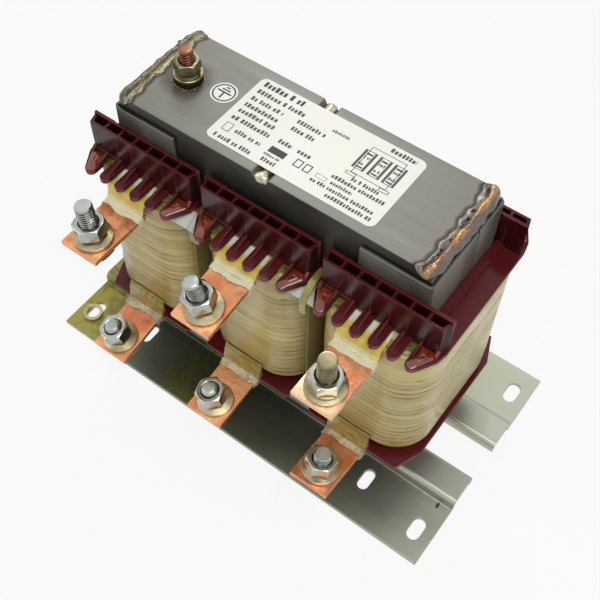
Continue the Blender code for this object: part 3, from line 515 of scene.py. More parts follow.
coreSteel = makeCoreSteel()
angleSteel = makeAngleSteel()
railZinc = makeRailZinc()
formerPlastic = makeFormerPlastic()
filmWire = makeFilmWire()
copperBar = makeCopper()
boltZinc = makeZinc("boltZinc", (180, 185, 179), (158, 163, 155), (37, 32, 26), 0.14)
wornZinc = makeZinc("wornZinc", (166, 152, 120), (122, 110, 83), (35, 28, 21), 0.18)
washerZinc = makeZinc("washerZinc", (185, 172, 142), (152, 139, 106), (61, 53, 37), 0.2)
earthZinc = makeZinc("earthZinc", (152, 148, 118), (106, 102, 73), (40, 37, 24), 0.22)
studCopper = makeStudCopper()
weldMetal = makeWeld()
grooveMetal = makeZinc("grooveMetal", (209, 203, 179), (144, 136, 112), (61, 55, 45), 0.2)
tapeUpper = makeTapeUpper()
tapeLower = makeTapeLower()
paperSheet = makePaper()
glassStrip = makeSimple("glassStrip", (188, 182, 106), (143, 136, 61), 0.3, 220.0, 0.2, Coat_Weight=0.5)
gapBoard = makeSimple("gapBoard", (236, 225, 184), (184, 170, 129), 0.75)
resinPool = makeSimple("resinPool", (152, 59, 25), (91, 25, 16), 0.04, 170.0, 0.35, Coat_Weight=0.8)
resinOlive = makeSimple("resinOlive", (134, 127, 52), (81, 72, 31), 0.1, 260.0, 0.1)
resinPale = makeSimple("resinPale", (232, 225, 141), (195, 184, 97), 0.08, 260.0, 0.1)
spatterMetal = makeSimple("spatterMetal", (184, 157, 111), (52, 41, 31), 0.3, 500.0, 0.1, Metallic=0.8)
labelWhite = makeSimple("labelWhite", (249, 249, 246), (248, 246, 232), 0.35, 26.0, 0.02)
labelInk = makeSimple("labelInk", (36, 36, 35), (26, 26, 25), 0.5)
labelGrey = makeSimple("labelGrey", (84, 84, 80), (64, 64, 61), 0.5)
print("stage: materials made")


# small helpers for shapes

def spot(x, y, z):
    # a place in metres, from mm along the row, back from the middle of the core, and up
    return x * mm, coreY + y * mm, z * mm


def turned(radius, angle, height):
    return radius * math.cos(angle), radius * math.sin(angle), height


def wobble(x, y, z):
    return noise.noise(Vector((x, y, z)))


def bevelled(piece, width, segments, angle):
    edge = piece.modifiers.new("edge", "BEVEL")
    edge.width = width
    edge.segments = segments
    edge.limit_method = "ANGLE"
    edge.angle_limit = math.radians(angle)
    return piece


def evenShade(piece):
    # flat facets stay flat up to their rounded edges
    even = piece.modifiers.new("even", "WEIGHTED_NORMAL")
    even.keep_sharp = True
    even.weight = 100
    return piece


def dress(nodeName, material, width=0.0, segments=2, angle=32):
    # finish of a CAD piece; a width in mm takes its hard corners off without touching its own mesh
    piece = nodes[nodeName]
    piece.data.materials.clear()
    piece.data.materials.append(material)
    if not width:
        return
    piece.data.shade_smooth()
    weld = piece.modifiers.new("weld", "WELD")
    weld.merge_threshold = 0.000002
    flat = piece.modifiers.new("flat", "DECIMATE")
    flat.decimate_type = "DISSOLVE"
    flat.angle_limit = math.radians(0.6)
    evenShade(bevelled(piece, width * mm, segments, angle))


def settle(piece, material, replaced=()):
    piece.data.materials.clear()
    piece.data.materials.append(material)
    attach(piece, "root")
    if replaced:
        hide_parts(*replaced)
    return piece


def newPiece(name, mesh):
    piece = bpy.data.objects.new(name, mesh)
    bpy.context.scene.collection.objects.link(piece)
    return piece


def meshOf(name, shape):
    # a mesh out of a bmesh, which is then let go
    mesh = bpy.data.meshes.new(name)
    shape.to_mesh(mesh)
    shape.free()
    return mesh


def smoothed(piece, angle):
    piece.data.shade_smooth()
    piece.data.set_sharp_from_angle(angle=math.radians(angle))
    return piece


def meshPiece(name, points, faces, smoothAngle=40):
    mesh = bpy.data.meshes.new(name)
    mesh.from_pydata([tuple(point) for point in points], [], faces)
    mesh.validate()
    return smoothed(newPiece(name, mesh), smoothAngle)


def gridFaces(rows, columns, wrapColumns=False, start=0, wrapRows=False):
    faces = []
    for i in range(rows if wrapRows else rows - 1):
        below, above = start + i * columns, start + (i + 1) % rows * columns
        for j in range(columns if wrapColumns else columns - 1):
            k = (j + 1) % columns
            faces.append((below + j, below + k, above + k, above + j))
    return faces


def endCaps(count, total):
    # the first and the last ring of a body, closed
    return [tuple(range(count)), tuple(range(total - 1, total - count - 1, -1))]


def backFaces(rows, columns):
    # joins the first and last column of an open grid
    return [(i * columns, (i + 1) * columns, (i + 2) * columns - 1, (i + 1) * columns - 1)
            for i in range(rows - 1)]


def outward(piece):
    shape = bmesh.new()
    shape.from_mesh(piece.data)
    bmesh.ops.remove_doubles(shape, verts=shape.verts, dist=0.000001)
    bmesh.ops.recalc_face_normals(shape, faces=shape.faces)
    shape.to_mesh(piece.data)
    shape.free()
    return piece


def closed(name, points, faces, smoothAngle=40):
    return smoothed(outward(meshPiece(name, points, faces)), smoothAngle)


def lathe(name, profile, steps=48):
    # profile of (radius, height) pairs turned round Z
    points = [turned(radius, 2 * math.pi * i / steps, height) for radius, height in profile
              for i in range(steps)]
    return closed(name, points, gridFaces(len(profile), steps, True), 35)


def evaluated(piece):
    bpy.context.view_layer.update()
    graph = bpy.context.evaluated_depsgraph_get()
    mesh = bpy.data.meshes.new_from_object(piece.evaluated_get(graph))
    piece.modifiers.clear()
    piece.data = mesh
    return piece


def hexBody(name, flats, low, high, bore):
    # hexagon whose corners are cut by cones; a screw's head has no bore and a square upper edge
    corner = flats / math.sqrt(3)
    shape = bmesh.new()
    bmesh.ops.create_cone(shape, cap_ends=True, segments=6, radius1=corner, radius2=corner,
                          depth=high - low, matrix=Matrix.Translation((0, 0, (low + high) / 2)))
    body = newPiece(name, meshOf(name, shape))
    wide = corner + 2 * mm
    inner = flats / 2 - 0.25 * mm
    fall = (wide - inner) * 0.55
    profile = [(0.0, high)]
    profile += [(inner, high), (wide, high - fall)] if bore else [(wide, high)]
    profile += [(wide, low + fall), (inner, low), (0.0, low)]
    cutters = [(lathe(name + "Crown", profile, 64), "INTERSECT")]
    if bore:
        mouth = bore + 0.7 * mm
        profile = [(0.0, high + mm), (mouth, high + mm), (mouth, high), (bore, high - 0.6 * mm),
                   (bore, low + 0.6 * mm), (mouth, low), (mouth, low - mm), (0.0, low - mm)]
        cutters.append((lathe(name + "Bore", profile), "DIFFERENCE"))
    for other, operation in cutters:
        step = body.modifiers.new(operation, "BOOLEAN")
        step.operation = operation
        step.object = other
    evaluated(body)
    for other, operation in cutters:
        bpy.data.objects.remove(other)
    return smoothed(evaluated(bevelled(body, 0.14 * mm, 2, 24)), 50)


def threadedRod(radius, pitch, low, high, domed, steps=40):
    # the thread is a spiral groove over a grid of angle and height
    thread = {"depth": 0.56 * pitch, "perTurn": 8, "bevel": 0.9 * mm, "run": 0.7 * pitch,
              "taper": 0.55}
    angles = [2 * math.pi * j / steps for j in range(steps)]
    rows = max(8, int((high - low) / pitch * thread["perTurn"]))
    points, grooves = [], []
    for i in range(rows + 1):
        height = low + (high - low) * i / rows
        left = high - height
        fade = min(1.0, max(0.0, (left - 0.6 * mm) / thread["run"]))
        for j in range(steps):
            phase = ((height - low) / pitch - j / steps) % 1.0
            cut = thread["depth"] * (1.0 - abs(2.0 * phase - 1.0)) ** 1.2
            here = min(radius - cut * fade, radius - max(0.0, thread["bevel"] - left) * thread["taper"])
            points.append(turned(here, angles[j], height))
            grooves.append(min(1.0, 1.9 * cut / thread["depth"]) * fade)
    faces = gridFaces(rows + 1, steps, True)
    crown = radius - thread["bevel"] * thread["taper"]
    rise = 0.9 * mm if domed else 0.12 * mm
    for share in (0.85, 0.6, 0.3):
        start = len(points)
        lift = rise * math.sqrt(max(0.0, 1 - share * share))
        points += [turned(crown * share, angle, high + lift) for angle in angles]
        faces += gridFaces(2, steps, True, start - steps)
    points.append((0.0, 0.0, high + rise))
    last = len(points) - 1
    faces += [(last - steps + j, last - steps + (j + 1) % steps, last) for j in range(steps)]
    faces.append(tuple(range(steps - 1, -1, -1)))
    rod = meshPiece("thread", points, faces, 50)
    # red: depth of the thread's cut, which sets painted shade in the grooves; green marks the end
    layer = rod.data.color_attributes.new("thread", "FLOAT_COLOR", "POINT")
    for index in range(len(points)):
        onTop = index >= len(grooves)
        layer.data[index].color = (0.0, 1.0, 0.0, 1.0) if onTop else (grooves[index], 0.0, 0.0, 1.0)
    return outward(rod)


def joined(name, pieces):
    # one mesh out of several, each kept where its matrix puts it
    shape = bmesh.new()
    for piece in pieces:
        start = len(shape.verts)
        shape.from_mesh(piece.data)
        shape.verts.ensure_lookup_table()
        bmesh.ops.transform(shape, matrix=piece.matrix_basis, verts=shape.verts[start:])
    mesh = meshOf(name, shape)
    for piece in pieces:
        bpy.data.objects.remove(piece)
    return newPiece(name, mesh)


def roundedRectangle(halfX, halfY, radius, steps):
    # points at equal steps, counter-clockwise from the middle of the right side, each with its way out
    straightX, straightY = halfX - radius, halfY - radius
    arc = ("arc", math.pi / 2 * radius)
    side = ("line", 2 * straightX)
    legs = [("line", straightY), arc, side, arc, ("line", 2 * straightY), arc, side, arc,
            ("line", straightY)]
    total = sum(length for kind, length in legs)
    found = []
    for i in range(steps):
        left = total * i / steps
        point, heading = Vector((halfX, 0.0)), math.pi / 2
        for kind, length in legs:
            go = min(left, length)
            if kind == "arc":
                centre = point + radius * Vector((-math.sin(heading), math.cos(heading)))
                point = centre + Matrix.Rotation(go / radius, 2) @ (point - centre)
                heading += go / radius
            else:
                point = point + go * Vector((math.cos(heading), math.sin(heading)))
            left -= go
            if left <= 1e-12:
                break
        found.append((point, Vector((math.sin(heading), -math.cos(heading)))))
    return found


def flatOutline(name, outline, low, high):
    # a closed outline as a thin plate
    count = len(outline)
    points = [(x, y, high) for x, y in outline] + [(x, y, low) for x, y in outline]
    faces = endCaps(count, 2 * count)
    faces += [(i, i + count, (i + 1) % count + count, (i + 1) % count) for i in range(count)]
    return outward(meshPiece(name, points, faces, 30))


# camera

view = {"azimuth": 37.05, "elevation": 55.88, "roll": -0.18, "lens": 58.16,
        "place": (151.89, -213.92, 438.62), "shiftX": 0.0273, "shiftY": -0.0039}


def placeCamera():
    azimuth, elevation, roll = (math.radians(view[key]) for key in ("azimuth", "elevation", "roll"))
    level = math.cos(elevation)
    back = Vector((math.sin(azimuth) * level, -math.cos(azimuth) * level, math.sin(elevation)))
    right = (-back).cross(Vector((0, 0, 1))).normalized()
    up = right.cross(-back)
    turnedRight = right * math.cos(roll) + up * math.sin(roll)
    turnedUp = up * math.cos(roll) - right * math.sin(roll)
    data = bpy.data.cameras.new("camera")
    data.lens = view["lens"]
    data.sensor_width = 36.0
    data.shift_x = view["shiftX"]
    data.shift_y = view["shiftY"]
    data.clip_start = 0.01
    camera = newPiece("camera", data)
    turn = Matrix((turnedRight, turnedUp, back)).transposed().to_4x4()
    camera.matrix_world = Matrix.Translation(Vector(view["place"]) * mm + Vector((0, coreY, 0))) @ turn
    bpy.context.scene.camera = camera


placeCamera()
print("stage: camera placed")


# light, floor and backdrop

studio = {"world": 0.23, "floorShade": 0.13, "near": 0.3, "far": 0.8, "aim": (0, 0, 0.08),
          "floorHalf": 6.0, "floorDrop": 0.0002}
lamps = {  # place, size, power
    "keyBox": ((0.35, -0.25, 0.95), (0.7, 0.5), 4.35),
    "fillBox": ((-0.75, -0.55, 0.55), (0.6, 0.6), 1.08),
    "backBox": ((-0.45, 0.75, 0.95), (0.35, 0.5), 1.7),
    "sparkBox": ((-0.30, 0.44, 0.88), (0.07, 0.07), 0.75)}


def seenDirectly(tree):
    # 1 for what the camera sees, itself or in metal and glass
    seen = source(tree, "LightPath", "Is Camera Ray")
    for other in ("Is Glossy Ray", "Is Transmission Ray"):
        seen = seen.calc("MAXIMUM", source(tree, "LightPath", other))
    return seen


def makeWorld():
    world = bpy.data.worlds.new("studio")
    bpy.context.scene.world = world
    world.use_nodes = True
    tree = world.node_tree
    background = tree.nodes["Background"]
    background.inputs["Color"].default_value = (1.0, 1.0, 1.0, 1.0)
    strength = seenDirectly(tree) * (1.0 - studio["world"]) + studio["world"]
    tree.links.new(strength.socket, background.inputs["Strength"])


def softbox(name, location, size, power):
    data = bpy.data.lights.new(name, "AREA")
    data.shape = "RECTANGLE"
    data.size, data.size_y = size
    data.energy = power
    lamp = newPiece(name, data)
    lamp.location = location
    lamp.rotation_euler = (Vector(studio["aim"]) - Vector(location)).to_track_quat("-Z", "Y").to_euler()


def makeFloor():
    # white to the camera, with the object's shadow kept near it and fading into plain white
    made = bpy.data.materials.new("floorWhite")
    made.use_nodes = True
    tree = made.node_tree
    tree.nodes.clear()
    shade = source(tree, "BsdfDiffuse", 0, {"Color": (0.92, 0.92, 0.92, 1.0)})
    glow = source(tree, "Emission", 0, {"Color": (1.0, 1.0, 1.0, 1.0), "Strength": 1.0})
    away = source(tree, "VectorMath", "Value", {0: source(tree, "TexCoord", "Object")}, operation="LENGTH")
    share = away.spread(studio["near"], studio["far"], 1.0 - studio["floorShade"])
    blend = source(tree, "MixShader", 0, {0: share, 1: shade, 2: glow})
    final = source(tree, "MixShader", 0, {0: seenDirectly(tree), 1: shade, 2: blend})
    add(tree, "OutputMaterial", {"Surface": final})
    half = studio["floorHalf"]
    corners = [(-half, -half, 0), (half, -half, 0), (half, half, 0), (-half, half, 0)]
    floor = meshPiece("floor", corners, [(0, 1, 2, 3)])
    floor.location.z = -studio["floorDrop"]
    floor.data.materials.append(made)


makeWorld()
for name, (location, size, power) in lamps.items():
    softbox(name, location, size, power)
makeFloor()
bpy.context.scene.view_settings.view_transform = "Standard"
print("stage: light and floor made")


# core, boards, angles and rails

dress("core_top_yoke", coreSteel, 0.5, 3)
dress("core_e_stack", coreSteel, 0.4)
for i in (1, 2, 3):
    dress("air_gap_board_%d" % i, gapBoard)
for name in ("front_left", "front_right", "back_left", "back_right"):
    dress("angle_" + name, angleSteel, 0.35)
for name in ("front", "back"):
    dress("rail_" + name, railZinc, 0.3, 2, 50)


def smoothStep(a, b, c, d, t):
    # a curve through b and c that minds the knots before and after them
    return 0.5 * (2 * b + (c - a) * t + (2 * a - 5 * b + 4 * c - d) * t * t
                  + (3 * b - a - 3 * c + d) * t ** 3)


def makeBead(name, side, replaced):
    # a weld over the whole depth of the core: a low skirt on the steel, pits, then a round ridge
    run = {"rows": 190, "end": 3.0, "pinchPlace": -0.45, "pinchLength": 0.16, "pinch": 0.13, "swell": 0.07,
           "middleZ": 157.9, "perPoint": 3, "endInset": 0.6, "endZ": 158.8}
    ridge = ((-1.75, 160.66), (-1.25, 160.50), (-0.8, 161.0), (-0.1, 161.5), (0.7, 161.7), (1.5, 161.4),
             (2.3, 160.8), (3.0, 159.8), (3.45, 158.6), (3.5, 157.4), (3.2, 156.3), (2.5, 155.7),
             (1.2, 155.6), (-1.0, 156.8))
    points = []
    for i in range(run["rows"]):
        y = bead["half"] * math.sin(math.pi / 2 * (2 * i / (run["rows"] - 1) - 1))
        share = y / bead["half"]
        centre, border = beadCentre(y), beadBorder(y, side)
        body = 1 + run["swell"] * abs(share) ** 4
        body -= run["pinch"] * math.exp(-(((share - run["pinchPlace"]) / run["pinchLength"]) ** 2))
        centre += 0.75 * wobble(y * 0.2, side * 4.3, 7.0)
        knots = [(border, 160.12), (border + 0.35, 160.40), ((border + centre - 1.4) / 2, 160.60)]
        for k, (across, z) in enumerate(ridge):
            lump = 0.14 * wobble(y * 0.24, k * 0.2 + side * 9, 1.0)
            lump += 0.05 * wobble(y * 0.7, k * 0.45 + side * 5, 2.0)
            grow = body + lump
            knots.append((centre + across * grow, run["middleZ"] + (z - run["middleZ"]) * grow))
        knots.append((border + 0.8, 159.5))
        over = (abs(y) - (bead["half"] - run["end"])) / run["end"]
        close = math.sqrt(max(0.004, 1 - max(0.0, over) ** 2))
        count = len(knots)
        for k in range(count):
            near4 = [knots[(k + step) % count] for step in (-1, 0, 1, 2)]
            for part in range(run["perPoint"]):
                t = part / run["perPoint"]
                across, z = (smoothStep(*(knot[n] for knot in near4), t) for n in (0, 1))
                across = centre - run["endInset"] + (across - centre + run["endInset"]) * close
                points.append(spot(side * across, y, run["endZ"] + (z - run["endZ"]) * close))
    columns = count * run["perPoint"]
    faces = gridFaces(run["rows"], columns, True) + endCaps(columns, len(points))
    settle(closed(name, points, faces, 70), weldMetal, (replaced,))


def makeGrooveWeld():
    # bright run of weld in the groove across the middle of the yoke, ending in a blob at the front
    run = {"half": 25.1, "centre": -2.5, "radius": 2.75, "level": 157.4, "blob": 0.75, "rows": 120,
           "columns": 20, "end": 1.6}
    rows, columns = run["rows"], run["columns"]
    points = []
    for i in range(rows):
        y = run["half"] * math.sin(math.pi / 2 * (2 * i / (rows - 1) - 1))
        lump = 0.3 * wobble(y * 0.35, 1.7, 0.0) + 0.12 * wobble(y * 1.1, 4.0, 0.0)
        lump += run["blob"] * math.exp(-(((y + 23.6) / 2.0) ** 2))
        over = (abs(y) - run["half"] + run["end"]) / run["end"]
        radius = (run["radius"] + lump) * math.sqrt(max(0.01, 1 - max(0.0, over) ** 2))
        for j in range(columns):
            angle = math.pi * j / (columns - 1)
            points.append(spot(run["centre"] + radius * 1.05 * math.cos(angle), y,
                               run["level"] + radius * 0.86 * math.sin(angle)))
    faces = gridFaces(rows, columns) + backFaces(rows, columns) + endCaps(columns, len(points))
    settle(closed("grooveWeld", points, faces, 60), grooveMetal)


makeBead("weldBeadLeft", -1, "weld_left")
makeBead("weldBeadRight", 1, "weld_right")
makeGrooveWeld()
print("stage: core dressed")


# rating plate and earth mark

plate = {"left": -33.5, "right": 45.9, "front": -20.0, "back": 19.3, "corner": 3.0, "lift": 0.02,
         "thick": 0.16, "ink": 0.012}


def makePlate():
    halfX = (plate["right"] - plate["left"]) / 2
    halfY = (plate["back"] - plate["front"]) / 2
    middleX = (plate["right"] + plate["left"]) / 2
    middleY = (plate["back"] + plate["front"]) / 2
    outline = []
    for sx, sy, start in ((1, 1, 0), (-1, 1, 90), (-1, -1, 180), (1, -1, 270)):
        for i in range(9):
            angle = math.radians(start + 90 * i / 8)
            x = middleX + sx * (halfX - plate["corner"]) + plate["corner"] * math.cos(angle)
            y = middleY + sy * (halfY - plate["corner"]) + plate["corner"] * math.sin(angle)
            outline.append(spot(x, y, 0)[:2])
    low = coreTop + plate["lift"] * mm
    settle(flatOutline("ratingPlate", outline, low, low + plate["thick"] * mm), labelWhite)


def block(ink, x0, y0, x1, y1):
    # flat print on the plate; places are in mm in the part's own frame, seen from above
    start = len(ink["points"])
    level = coreTop + (plate["lift"] + plate["thick"] + plate["ink"]) * mm
    ink["points"] += [(x * mm, y * mm, level) for x, y in ((x0, y0), (x1, y0), (x1, y1), (x0, y1))]
    ink["faces"].append((start, start + 1, start + 2, start + 3))


def outlineBox(ink, x0, y0, x1, y1, thick=0.3):
    half = thick / 2
    block(ink, x0 - half, y0 - half, x1 + half, y0 + half)
    block(ink, x0 - half, y1 - half, x1 + half, y1 + half)
    block(ink, x0 - half, y0 + half, x0 + half, y1 - half)
    block(ink, x1 - half, y0 + half, x1 + half, y1 - half)


def words(ink, dice, x0, x1, low, tall):
    # plain blocks in the rhythm of a line of print
    x = x0
    while x < x1:
        wide = tall * dice.uniform(0.38, 0.6)
        block(ink, x, low, min(x1, x + wide), low + tall * (1.0 if dice.random() < 0.45 else 0.78))
        x += wide + tall * (0.2 if dice.random() < 0.84 else 0.6)


def printPlate():
    dice = random.Random(7)
    black, grey = {"points": [], "faces": []}, {"points": [], "faces": []}
    words(black, dice, -30.8, -11.0, 20.9, 3.1)
    lines = (  # left, right, foot, height
        (-30.8, -7.3, 16.4, 2.4), (6.2, 14.2, 17.1, 1.4), (-30.5, -14.7, 11.9, 2.3), (-7.8, 6.0, 12.4, 2.2),
        (-30.5, -14.0, 7.6, 2.3), (-7.6, 3.2, 8.0, 2.2), (-30.5, -13.0, 3.6, 2.3), (-30.4, -12.0, -0.9, 2.3),
        (-7.6, -1.2, -0.3, 2.2), (1.6, 7.9, -0.3, 2.2), (-24.4, -12.2, -6.4, 2.2), (-8.4, -1.0, -8.4, 1.2),
        (-30.4, -12.4, -12.3, 2.2), (-7.6, -1.2, -11.6, 2.1), (30.4, 42.0, 21.7, 2.3), (26.3, 38.8, 0.6, 1.9),
        (19.4, 43.0, -2.5, 1.9), (20.9, 30.6, -5.5, 1.7), (13.6, 43.0, -8.6, 1.8), (22.7, 43.0, -11.8, 1.9))
    for left, right, foot, tall in lines:
        words(grey, dice, left, right, foot, tall)
    # marks as plain blocks and frames
    block(black, -8.0, -6.3, -0.4, -2.9)
    outlineBox(black, 4.2, -6.2, 7.0, -2.6, 0.5)
    outlineBox(black, 8.6, -6.2, 11.2, -2.6, 0.5)
    outlineBox(grey, 14.3, -5.8, 18.8, -3.9, 0.22)
    outlineBox(grey, -29.8, -7.6, -26.6, -3.2, 0.35)
    # plain drawing of three coils on a core with two feet
    outlineBox(black, 24.0, 4.4, 39.5, 19.9)
    for left in (22.4, 29.3, 36.0):
        right = left + 5.2
        block(grey, left + 0.15, 7.05, left + 0.95, 17.35)
        block(grey, right - 0.95, 7.05, right - 0.15, 17.35)
        outlineBox(black, left, 6.9, right, 17.5)
        block(black, left + 1.2, 15.4, right - 1.2, 16.3)
        block(black, left + 1.2, 7.7, right - 1.2, 8.5)
        words(grey, dice, left + 1.3, right - 1.2, 13.0, 1.5)
        words(grey, dice, left + 1.3, right - 1.2, 9.3, 1.5)
    for left in (22.4, 37.2):
        outlineBox(black, left, 2.8, left + 4.2, 4.2)
    for name, ink, material in (("Black", black, labelInk), ("Grey", grey, labelGrey)):
        settle(meshPiece("platePrint" + name, ink["points"], ink["faces"]), material)


def makeEarthMark():
    mark = {"x": -41.25, "y": 2.3, "radius": 5.75, "ringIn": 4.3, "ringOut": 4.95, "low": 0.02, "high": 0.12,
            "inkLow": 0.125, "inkHigh": 0.15,
            "strokes": ((-0.4, -3.4, 0.4, 0.0), (-3.3, -0.1, 3.4, 0.7), (-2.0, 1.4, 2.0, 2.1),
                        (-0.9, 2.8, 0.9, 3.5))}
    centre = Matrix.Translation((mark["x"] * mm, coreY + mark["y"] * mm, coreTop))
    radius, low, high = mark["radius"] * mm, mark["low"] * mm, mark["high"] * mm
    disc = lathe("earthMarkDisc", [(0.0, high), (radius, high), (radius, low), (0.0, low)], 64)
    disc.data.transform(centre)
    settle(disc, labelWhite)
    low, high = mark["inkLow"] * mm, mark["inkHigh"] * mm
    inner, outer = mark["ringIn"] * mm, mark["ringOut"] * mm
    parts = [lathe("ring", [(inner, high), (outer, high), (outer, low), (inner, low), (inner, high)], 64)]
    for x0, y0, x1, y1 in mark["strokes"]:
        corners = [(x0 * mm, y0 * mm), (x1 * mm, y0 * mm), (x1 * mm, y1 * mm), (x0 * mm, y1 * mm)]
        parts.append(flatOutline("earthStroke", corners, low, high))
    ink = joined("earthMarkPrint", parts)
    ink.data.transform(centre)
    settle(ink, labelInk)


makePlate()
printPlate()
makeEarthMark()
print("stage: plate and mark made")


# coil formers

comb = {"top": 128.2, "fingerGap": (15.0, 18.35), "rise": 0.62, "middle": (22.4, 36.6),
        "bubble": 0.3, "bubblePlace": 0.3, "bubbleWidth": 0.09,
        "rings": (0.12, 0.2, 0.27, 0.34, 0.42, 0.52, 0.68, 0.84, 0.93, 0.98, 1.0),
        "webLow": 126.5, "webHigh": 127.1}


def trayOutline():
    # edge of the tray between the ribs of a corner finger, set in a little from the finger's own edge
    points = [(19.85, 32.25), (25.75, 32.25), (26.9, 34.5)]
    for i in range(9):
        angle = math.radians(25 + 155 * i / 8)
        points.append((20.85 + 2.05 * math.cos(angle), 41.5 + 2.05 * math.sin(angle)))
    points += [(18.85, 40.3), (19.85, 39.2)]
    fine = []
    for (x0, y0), (x1, y1) in zip(points, points[1:] + points[:1]):
        count = max(1, round(math.hypot(x1 - x0, y1 - y0) / 0.6))
        fine += [(x0 + (x1 - x0) * k / count, y0 + (y1 - y0) * k / count) for k in range(count)]
    return fine


def makePools(coil):
    # varnish that ran together in the trays of the four corner fingers
    edge = trayOutline()
    around = len(edge)
    middleX, middleY = comb["middle"]
    points, faces = [], []
    for side in (-1, 1):
        for end in (-1, 1):
            first = len(points)
            seed = coil * 5 + end * 3 + side
            for share in comb["rings"]:
                for x, y in edge:
                    x = middleX + (x - middleX) * share
                    y = middleY + (y - middleY) * share
                    wave = 0.16 * wobble(x * 0.5, y * 0.4, seed)
                    lift = 0.05 + comb["rise"] * (1 - share ** 5) + wave * (1 - share)
                    off = (share - comb["bubblePlace"]) / comb["bubbleWidth"]
                    lift += comb["bubble"] * math.exp(-off ** 2)
                    points.append(spot(coil * coilPitch + end * x, side * y, comb["top"] + lift))
            faces += gridFaces(len(comb["rings"]), around, True, first)
            top = len(points)
            points.append(spot(coil * coilPitch + end * middleX, side * middleY,
                               comb["top"] + 0.05 + comb["rise"]))
            faces += [(first + j, first + (j + 1) % around, top) for j in range(around)]
            faces.append(tuple(range(top - around, top)))
    settle(closed("varnishPools%d" % (coil + 2), points, faces, 80), resinPool)


def makeWebs(coil):
    # a skin of varnish across the gap beside each corner finger
    low, high = comb["fingerGap"]
    front = ((1.0, 37.4), (0.82, 35.9), (0.6, 35.2), (0.38, 35.3), (0.16, 36.0), (0.0, 37.0))
    parts = []
    for side in (-1, 1):
        for end in (-1, 1):
            outline = [(low - 0.1, 31.9), (high + 0.1, 31.9)]
            outline += [(low + (high - low) * share, y) for share, y in front]
            outline = [spot(coil * coilPitch + end * x, side * y, 0)[:2] for x, y in outline]
            parts.append(flatOutline("web", outline, comb["webLow"] * mm, comb["webHigh"] * mm))
    piece = bevelled(joined("varnishWebs%d" % (coil + 2), parts), 0.15 * mm, 2, 30)
    settle(smoothed(piece, 60), resinOlive)


for coil in coils:
    for half in ("upper", "lower"):
        dress("former_%s_%d" % (half, coil + 2), formerPlastic, 0.2, 2, 40)
    makePools(coil)
    makeWebs(coil)
print("stage: formers dressed")


# windings

wind = {"halfX": 27.8, "halfY": 39.8, "corner": 19.0, "build": 8.6, "innerCorner": 4.0, "low": 42.1,
        "high": 125.3, "dropLow": 4.7, "dropHigh": 3.5, "run": 7.9, "shoulderCorner": 11.1, "turns": 20,
        "groove": 0.34, "wander": 0.28, "perTurn": 8, "around": 180, "overTop": 18}


def windingSkin(coil, j, along):
    # depth of the wire surface below the outline at one place: (inset, groove, tone of the turn)
    number = coil + 2
    angle = 2 * math.pi * j / wind["around"]
    c, s = math.cos(angle), math.sin(angle)
    sway = 0.45 * wobble(c * 1.3, s * 1.3, along * 0.25 + number * 9)
    where = along - j / wind["around"] + sway
    turn = math.floor(where)
    phase = where - turn
    groove = max(0.0, 1.0 - min(phase, 1 - phase) / 0.15) ** 1.4
    strength = max(0.0, 0.34 + 2.1 * wobble(c * 1.8 + turn * 3.3, s * 1.8, number))
    push = wind["wander"] * wobble(turn * 5.1, c * 0.9 + number, s * 0.9)
    shade = 0.5 + 0.8 * wobble(turn * 2.7 + 0.3, c * 0.7, s * 0.7 + number)
    inset = wind["groove"] * groove * strength + 0.26 - 0.07 * math.sin(math.pi * phase) - push
    return max(inset, 0.0), min(1.0, groove * strength), min(1.0, max(0.0, shade))


def makeWinding(coil):
    # turns of film wrapped wire climb round the former, each a little out of line with its neighbours
    number = coil + 2
    around = wind["around"]

    def ring(inset, corner):
        return roundedRectangle(wind["halfX"] - inset, wind["halfY"] - inset, corner, around)

    outer = ring(0, wind["corner"])
    inner = ring(wind["run"], wind["shoulderCorner"])
    bore = ring(wind["build"], wind["innerCorner"])
    rows = wind["turns"] * wind["perTurn"]
    bottom, top = wind["low"] + wind["dropLow"], wind["high"] - wind["dropHigh"]
    points, skins = [], []

    def put(point, z, skin=(0.0, 0.0, 0.5)):
        points.append(spot(coil * coilPitch + point.x, point.y, z))
        skins.append(skin)

    for point, way in bore + inner:
        put(point, wind["low"])
    for i in range(rows + 1):
        z = bottom + (top - bottom) * i / rows
        for j, (point, way) in enumerate(outer):
            skin = windingSkin(coil, j, wind["turns"] * i / rows)
            put(point - way * (max(0.35, skin[0]) if i == 0 else skin[0]), z, skin)
    for i in range(1, wind["overTop"] + 1):
        share = i / wind["overTop"]
        z = top + (wind["high"] - top) * share
        for j, ((point, way), (end, ignored)) in enumerate(zip(outer, inner)):
            skin = windingSkin(coil, j, wind["turns"] + 2.4 * share)
            put(point.lerp(end, share) - way * skin[0] * 0.4, z - skin[0] * 0.9, skin)
    for point, way in bore:
        put(point, wind["high"])
    mesh = bpy.data.meshes.new("winding%d" % number)
    mesh.from_pydata(points, [], gridFaces(len(points) // around, around, True, 0, True))
    # red: how deep the place lies in a groove, which sets painted shade there; green: tone of the turn
    layer = mesh.color_attributes.new("turns", "FLOAT_COLOR", "POINT")
    for index, (inset, groove, shade) in enumerate(skins):
        layer.data[index].color = (groove, shade, 0.0, 1.0)
    shape = bmesh.new()
    shape.from_mesh(mesh)
    bmesh.ops.recalc_face_normals(shape, faces=shape.faces)
    shape.to_mesh(mesh)
    shape.free()
    piece = smoothed(newPiece("coilWinding%d" % number, mesh), 60)
    settle(piece, filmWire, ("winding_%d" % number,))


for coil in coils:
    makeWinding(coil)
print("stage: windings made")


# sheets and strips between the coils

for i in (1, 2):
    dress("barrier_%d" % i, paperSheet, 0.15)
    dress("strip_%d" % i, glassStrip, 0.2, 2, 50)


